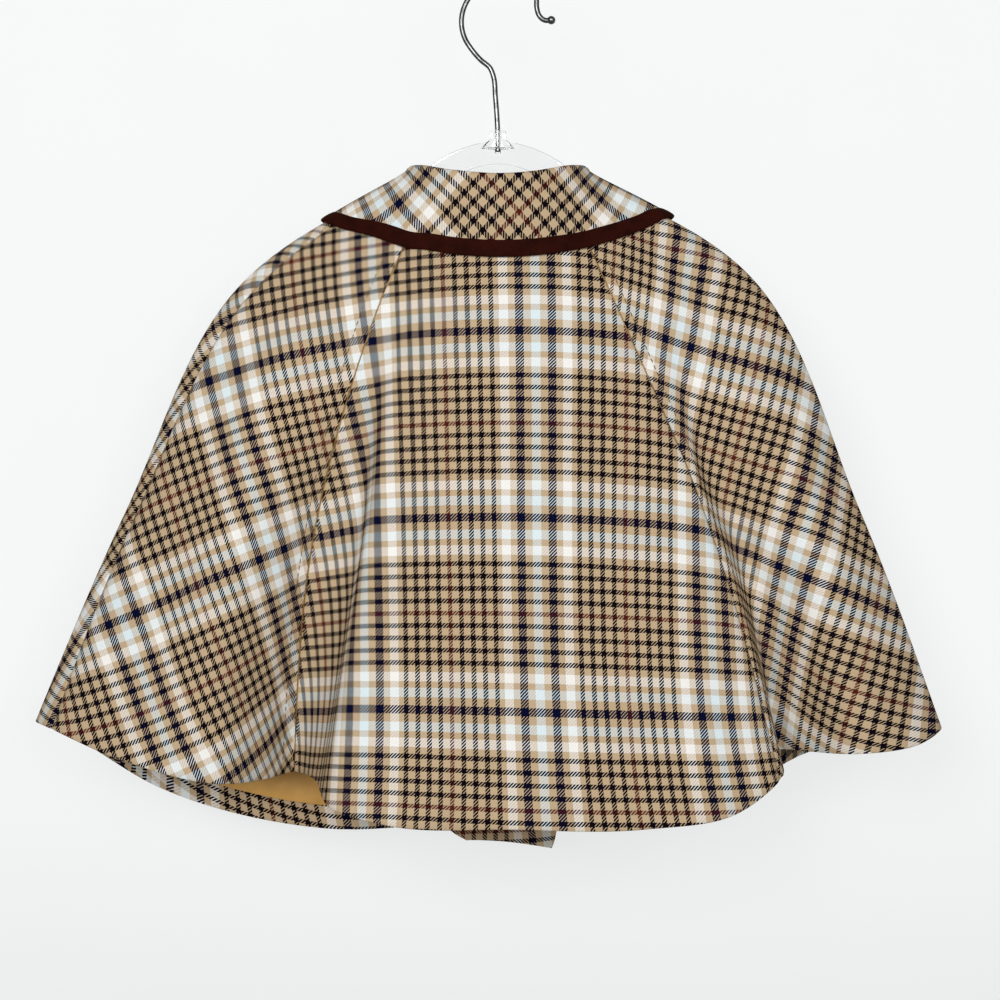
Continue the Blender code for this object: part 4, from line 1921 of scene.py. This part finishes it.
@dataclass
class HangerBody:
    """The clear bar with flanged edges, and the flared socket for the wire."""

    half_depth: float = 4.5 * MM
    height: float = 13.0 * MM
    web: float = 2.4 * MM
    strips: int = 6
    steps: int = 64
    round_edge: float = 0.8 * MM
    round_steps: int = 4
    sharp_deg: float = 50.0
    smooth_deg: float = 35.0
    facing: float = 0.9
    socket_x: float = -3.0 * MM
    socket_radius: float = 4.8 * MM
    socket_sides: int = 32
    socket_top: float = -86.0 * MM
    flare_top: float = -91.0 * MM
    flare_bottom: float = -96.0 * MM
    flare: tuple[float, float] = (2.1, 0.9)
    bore_radius: float = 1.8 * MM
    bore_sides: int = 24
    bore_rise: float = 1.0 * MM
    bore_floor: float = -99.0 * MM
    hump_half: float = 46.0 * MM
    plate_radius: float = 58.5 * MM
    plate_sides: int = 96
    plate_depth: float = 2.0 * MM
    plate_centre: float = -152.8 * MM
    plate_floor: float = -117.0 * MM

    def bar(self) -> bpy.types.Object:
        """The bar: a thin web with a flange along its top and bottom.

        Returns:
            The new object.
        """
        top = flat_path(HANGER_TOP, self.steps)
        heading = headings_of(top)
        below = np.stack([np.sin(heading), -np.cos(heading)], axis=1)
        middle = top + below * self.height / 2
        bpy.ops.object.select_all(action="DESELECT")
        bpy.ops.mesh.primitive_plane_add(
            size=1.0,
            location=(middle[0][0], 0.0, middle[0][1]),
            rotation=(0.0, math.pi / 2 - heading[0], 0.0),
        )
        obj = bpy.context.object
        obj.scale = (self.height, self.web, 1.0)
        apply_place(obj)
        bpy.ops.object.mode_set(mode="EDIT")
        bpy.ops.mesh.select_all(action="SELECT")
        bpy.ops.mesh.subdivide(number_cuts=self.strips)
        bpy.ops.object.mode_set(mode="OBJECT")
        sweep_face(obj, middle)
        strip = self.height / (self.strips + 1)

        def on_flange(polygon: bpy.types.MeshPolygon, side: float) -> bool:
            """Whether a face is on one side and in the top or bottom strip.

            Args:
                polygon: The face.
                side: The side, as the sign of its Y.

            Returns:
                Whether it is part of a flange.
            """
            centre = np.array([polygon.center.x, polygon.center.z])
            reach = np.linalg.norm(top - centre, axis=1).min()
            low = reach > self.height - strip and abs(centre[0] - self.socket_x) > self.hump_half
            return polygon.normal.y * side > self.facing and (reach < strip or low)

        for side in (1.0, -1.0):
            pick(obj, Pick.FACE, lambda polygon: on_flange(polygon, side))
            extrude((0.0, side * (self.half_depth - self.web / 2), 0.0))
            bpy.ops.object.mode_set(mode="OBJECT")
        return obj

    def plate(self) -> bpy.types.Object:
        """The thin plate that fills the hump under the socket.

        Returns:
            The new object.
        """
        centre = (self.socket_x, 0.0, self.plate_centre)
        obj = add_cylinder(
            self.plate_sides, self.plate_radius, self.plate_depth, centre, math.pi / 2
        )
        bpy.ops.object.mode_set(mode="EDIT")
        bpy.ops.mesh.select_all(action="SELECT")
        bpy.ops.mesh.bisect(
            plane_co=(0.0, 0.0, self.plate_floor),
            plane_no=(0.0, 0.0, 1.0),
            use_fill=True,
            clear_inner=True,
        )
        bpy.ops.object.mode_set(mode="OBJECT")
        return obj

    def socket(self) -> bpy.types.Object:
        """The round socket, flared where it meets the bar.

        Returns:
            The new object.
        """
        tall = self.socket_top - self.flare_top
        centre = (self.socket_x, 0.0, (self.socket_top + self.flare_top) / 2)
        obj = add_cylinder(self.socket_sides, self.socket_radius, tall, centre)
        pick(obj, Pick.FACE, lambda polygon: polygon.normal.z < -self.facing)
        extrude((0.0, 0.0, self.flare_bottom - self.flare_top))
        foot = (self.socket_x, 0.0, self.flare_bottom)
        bpy.ops.transform.resize(value=(*self.flare, 1.0), center_override=foot)
        bpy.ops.object.mode_set(mode="OBJECT")
        return obj

    def bore(self) -> bpy.types.Object:
        """The cutter for the wire's hole.

        Returns:
            The new object.
        """
        above = self.socket_top + self.bore_rise
        centre = (self.socket_x, 0.0, (above + self.bore_floor) / 2)
        return add_cylinder(self.bore_sides, self.bore_radius, above - self.bore_floor, centre)

    def build(self, clear: bpy.types.Material) -> None:
        """Makes the clear body.

        Args:
            clear: The finish.
        """
        obj = self.bar()
        apply_bevel(obj, self.round_edge, self.round_steps, self.sharp_deg)
        apply_boolean(obj, self.plate(), "UNION")
        apply_boolean(obj, self.socket(), "UNION")
        apply_boolean(obj, self.bore(), "DIFFERENCE")
        smooth_by_angle(obj, self.smooth_deg)
        obj.name = "hanger_clear"
        dress(obj, clear, Slot.CLEAR, "hanger_body")


@dataclass
class HangerHook:
    """The bent wire with a ball on its end."""

    wire_radius: float = 1.5 * MM
    inside_radius: float = 22.6 * MM
    first_deg: float = 218.0
    last_deg: float = 38.0
    arc_steps: int = 18
    steps: int = 150
    sides: int = 20
    ball_radius: float = 2.4 * MM
    ball_segments: int = 28
    ball_rings: int = 16
    end_round: float = 0.5 * MM
    end_steps: int = 3
    sharp_deg: float = 60.0
    smooth_deg: float = 40.0

    def path(self) -> Grid:
        """The wire's centre line, from the socket round the hook to the tip.

        Returns:
            Its X and Z, in metres.
        """
        radius = (self.inside_radius + self.wire_radius) / MM
        centre_z = self.wire_radius / MM - radius
        turns = np.radians(np.linspace(self.first_deg, self.last_deg, self.arc_steps))
        arc = tuple(FlatPlace(radius * math.cos(a), centre_z + radius * math.sin(a)) for a in turns)
        return flat_path(WIRE_SHANK + arc + WIRE_TIP, self.steps)

    def build(self, steel: bpy.types.Material) -> None:
        """Makes the hook.

        Args:
            steel: The finish.
        """
        path = self.path()
        heading = headings_of(path)
        bpy.ops.object.select_all(action="DESELECT")
        bpy.ops.mesh.primitive_circle_add(
            vertices=self.sides,
            radius=self.wire_radius,
            fill_type="NGON",
            location=(path[0][0], 0.0, path[0][1]),
            rotation=(0.0, math.pi / 2 - heading[0], 0.0),
        )
        obj = bpy.context.object
        apply_place(obj)
        sweep_face(obj, path)
        apply_bevel(obj, self.end_round, self.end_steps, self.sharp_deg)
        bpy.ops.object.select_all(action="DESELECT")
        bpy.ops.mesh.primitive_uv_sphere_add(
            segments=self.ball_segments,
            ring_count=self.ball_rings,
            radius=self.ball_radius,
            location=(path[-1][0], 0.0, path[-1][1]),
        )
        ball = bpy.context.object
        apply_place(ball)
        apply_boolean(obj, ball, "UNION")
        smooth_by_angle(obj, self.smooth_deg)
        obj.name = "hook_wire"
        dress(obj, steel, Slot.WIRE, "hanger_hook")


@dataclass
class Buttons:
    """Round dished buttons with four holes, sewn on with crossed thread."""

    radius: float = 9.0 * MM
    height: float = 3.2 * MM
    rim: float = 1.9 * MM
    dish: float = 0.8 * MM
    holes: int = 4
    hole_radius: float = 0.95 * MM
    hole_reach: float = 1.8 * MM
    hole_sides: int = 16
    round_edge: float = 0.45 * MM
    round_steps: int = 3
    sharp_deg: float = 40.0
    facing: float = 0.9
    sides: int = 48
    thread_radius: float = 0.45 * MM
    thread_lift: float = 0.1 * MM

    def hole_place(self, turn: int) -> tuple[float, float]:
        """Where a hole lies from the button's middle, counted round it."""
        angle = 2 * math.pi * (turn + 0.5) / self.holes
        return self.hole_reach * math.cos(angle), self.hole_reach * math.sin(angle)

    def pattern(self) -> bpy.types.Object:
        """One button at the origin, facing up.

        Returns:
            The new object.
        """
        middle = self.height / 2
        obj = add_cylinder(self.sides, self.radius, self.height, (0.0, 0.0, middle))
        pick(obj, Pick.FACE, lambda polygon: polygon.normal.z > self.facing)
        bpy.ops.mesh.inset(thickness=self.rim, depth=0.0)
        extrude((0.0, 0.0, -self.dish))
        bpy.ops.object.mode_set(mode="OBJECT")
        apply_bevel(obj, self.round_edge, self.round_steps, self.sharp_deg)
        for turn in range(self.holes):
            centre = (*self.hole_place(turn), middle)
            hole = add_cylinder(self.hole_sides, self.hole_radius, self.height * 2, centre)
            apply_boolean(obj, hole, "DIFFERENCE")
        smooth_by_angle(obj, self.sharp_deg)
        return obj

    def build(self, feet: list, horn: bpy.types.Material, thread: bpy.types.Material) -> None:
        """Makes the buttons.

        Args:
            feet: A foot and an outward direction for each.
            horn: The buttons' finish.
            thread: The finish of the thread that holds them.
        """
        pattern = self.pattern()
        ends = []
        top = self.height - self.dish
        for k, (foot, out) in enumerate(feet):
            turn = Vector((0, 0, 1)).rotation_difference(Vector(out)).to_matrix().to_4x4()
            place = Matrix.Translation(Vector(foot)) @ turn
            mesh = pattern.data.copy()
            mesh.transform(place)
            obj = bpy.data.objects.new(f"button_horn_{k + 1}", mesh)
            bpy.context.scene.collection.objects.link(obj)
            dress(obj, horn, Slot.BUTTON, f"button_{k + 1}")
            for cross in range(self.holes // 2):
                reach = Vector((*self.hole_place(cross), 0.0))
                lift = Vector((0.0, 0.0, top + self.thread_lift * cross))
                start = np.array(place @ (lift - reach))
                ends.append((start, np.array(place @ (lift + reach)), out))
        bpy.data.objects.remove(pattern, do_unlink=True)
        sewn = StitchThread(radius=self.thread_radius)
        dress(sewn.build("button_threads", ends), thread, Slot.BUTTON)


@dataclass
class Studio:
    """The pale floor and wall, the soft lights and the camera."""

    wall_y: float = 0.080
    floor_z: float = -0.95
    reach: float = 5.0
    wall_top: float = 2.6
    corner: float = 0.22
    corner_steps: int = 14
    smooth_deg: float = 60.0
    near: float = 1e-4
    camera_place: Place = (-0.00174, -1.100, -0.2999)
    view_width: float = 0.58
    sensor: float = 36.0
    wall_colour: Colour = (0.195, 0.20, 0.20)
    wall_dark: float = 0.985
    wall_patch: float = 18.0
    wall_stops: tuple[float, float] = (0.3, 0.7)
    wall_rough: float = 0.9
    wall_specular: float = 0.1
    wall_glow: float = 0.750
    glow_tint: Colour = (0.985, 1.0, 0.995)
    glow_from: float = -0.75
    glow_to: float = -0.38
    glow_low: float = 0.85
    bounce: float = 0.30
    sky: float = 0.18
    sky_colour: Colour = (0.98, 0.99, 1.0)
    key_place: Place = (-0.64, -2.00, 0.20)
    key_size: float = 0.9
    key_power: float = 24.8
    fill_place: Place = (0.60, -2.05, 0.00)
    fill_size: float = 0.9
    fill_power: float = 17.0
    front_place: Place = (0.25, 2.20, 0.10)
    front_size: float = 1.2
    front_power: float = 26.0
    aim: Place = (0.0, 0.0, -0.30)

    def backdrop(self) -> None:
        """A floor that curves up into a wall, seen from its pale side only."""
        bpy.ops.object.select_all(action="DESELECT")
        middle = (0.0, self.wall_y - self.reach / 2, self.floor_z)
        bpy.ops.mesh.primitive_plane_add(size=1.0, location=middle)
        obj = bpy.context.object
        obj.scale = (self.reach, self.reach, 1.0)
        apply_place(obj)

        def in_corner(edge: bpy.types.MeshEdge) -> bool:
            """Whether an edge lies where the floor meets the wall.

            Args:
                edge: The edge.

            Returns:
                Whether both its ends lie there.
            """
            ends = [obj.data.vertices[v].co for v in edge.vertices]
            back = self.wall_y - self.near
            return all(end.y > back and end.z < self.floor_z + self.near for end in ends)

        pick(obj, Pick.EDGE, in_corner)
        extrude((0.0, 0.0, self.wall_top - self.floor_z))
        bpy.ops.object.mode_set(mode="OBJECT")
        pick(obj, Pick.EDGE, in_corner)
        bpy.ops.mesh.bevel(offset=self.corner, segments=self.corner_steps, affect="EDGES")
        bpy.ops.object.mode_set(mode="OBJECT")
        smooth_by_angle(obj, self.smooth_deg)
        obj.name = "pale_backdrop"
        obj.data.materials.append(self.wall_material())

    def wall_material(self) -> bpy.types.Material:
        """A pale screen on the side that faces the object, and nothing on the other.

        The camera sees the screen lit; the cape gets only a dim glow back from it.

        Returns:
            The material.
        """
        made, board, shader = new_material("pale screen")
        spot = board.object_place()
        low = tuple(c * self.wall_dark for c in self.wall_colour)
        stops = list(zip(self.wall_stops, (low, self.wall_colour)))
        risen = board.between(board.split(spot)[2], self.glow_from, self.glow_to)
        low_glow = tuple(self.glow_low * c for c in self.glow_tint)
        glow = board.ramp(risen, [(0.0, low_glow), (1.0, self.glow_tint)], "EASE")
        finish = {
            "Base Color": board.ramp(board.noise(spot, self.wall_patch), stops, "EASE"),
            "Roughness": self.wall_rough,
            "Specular IOR Level": self.wall_specular,
            "Emission Color": glow,
            "Emission Strength": self.wall_glow,
        }
        board.feed(shader, finish)
        ray = board.add("ShaderNodeLightPath").outputs
        seen = board.math("MAXIMUM", ray["Is Camera Ray"], ray["Is Transmission Ray"])
        dim = board.add("ShaderNodeEmission", {"Color": glow, "Strength": self.bounce}).outputs[0]
        lit = shader.outputs[0]
        screen = board.add("ShaderNodeMixShader", {0: seen, 1: dim, 2: lit}).outputs[0]
        empty = board.add("ShaderNodeBsdfTransparent").outputs[0]
        behind = board.add("ShaderNodeNewGeometry").outputs["Backfacing"]
        either = board.add("ShaderNodeMixShader", {0: behind, 1: screen, 2: empty}).outputs[0]
        board.feed(made.node_tree.nodes["Material Output"], {"Surface": either})
        return made

    def light(self, name: str, place: Place, size: float, power: float) -> None:
        """A square soft light that points at the object.

        Args:
            name: The light's name.
            place: Where it stands.
            size: Its side, in metres.
            power: Its power, in watts.
        """
        lamp = bpy.data.lights.new(name, "AREA")
        lamp.size = size
        lamp.energy = power
        obj = bpy.data.objects.new(name, lamp)
        obj.location = place
        obj.rotation_euler = (Vector(self.aim) - Vector(place)).to_track_quat("-Z", "Y").to_euler()
        bpy.context.scene.collection.objects.link(obj)

    def camera(self) -> None:
        """The camera, level and square to the cape's back."""
        data = bpy.data.cameras.new("camera")
        data.sensor_width = self.sensor
        data.lens = self.sensor * abs(self.camera_place[1]) / self.view_width
        obj = bpy.data.objects.new("camera", data)
        obj.location = self.camera_place
        obj.rotation_euler = (math.pi / 2, 0.0, 0.0)
        bpy.context.scene.collection.objects.link(obj)
        bpy.context.scene.camera = obj

    def build(self) -> None:
        """Sets the stage."""
        self.camera()
        self.backdrop()
        self.light("key", self.key_place, self.key_size, self.key_power)
        self.light("fill", self.fill_place, self.fill_size, self.fill_power)
        self.light("front", self.front_place, self.front_size, self.front_power)
        world = bpy.data.worlds.new("soft room")
        world.use_nodes = True
        sky = world.node_tree.nodes["Background"]
        sky.inputs["Color"].default_value = (*self.sky_colour, 1.0)
        sky.inputs["Strength"].default_value = self.sky
        bpy.context.scene.world = world
        bpy.context.scene.view_settings.view_transform = "Standard"


def main() -> None:
    """Builds the studio, the cape and the hanger in order."""
    logging.basicConfig(level=logging.INFO, format="%(message)s")
    Studio().build()
    nap = NapGrain().group()
    plaid = PlaidTwill().material()
    thread = THREAD.material(nap)
    form = CapeForm()
    CapeBody(form).build(plaid, LiningSatin().material(nap))
    Collar(form).build(plaid, VELVET.material(nap))
    SeamStitching(form).build(thread)
    feet = Placket(form).build(plaid, thread)
    Buttons().build(feet, HORN.material(nap), thread)
    HangerBody().build(ClearPlastic().material(nap))
    HangerHook().build(SteelWire().material(nap))


if __name__ == "__main__":
    main()
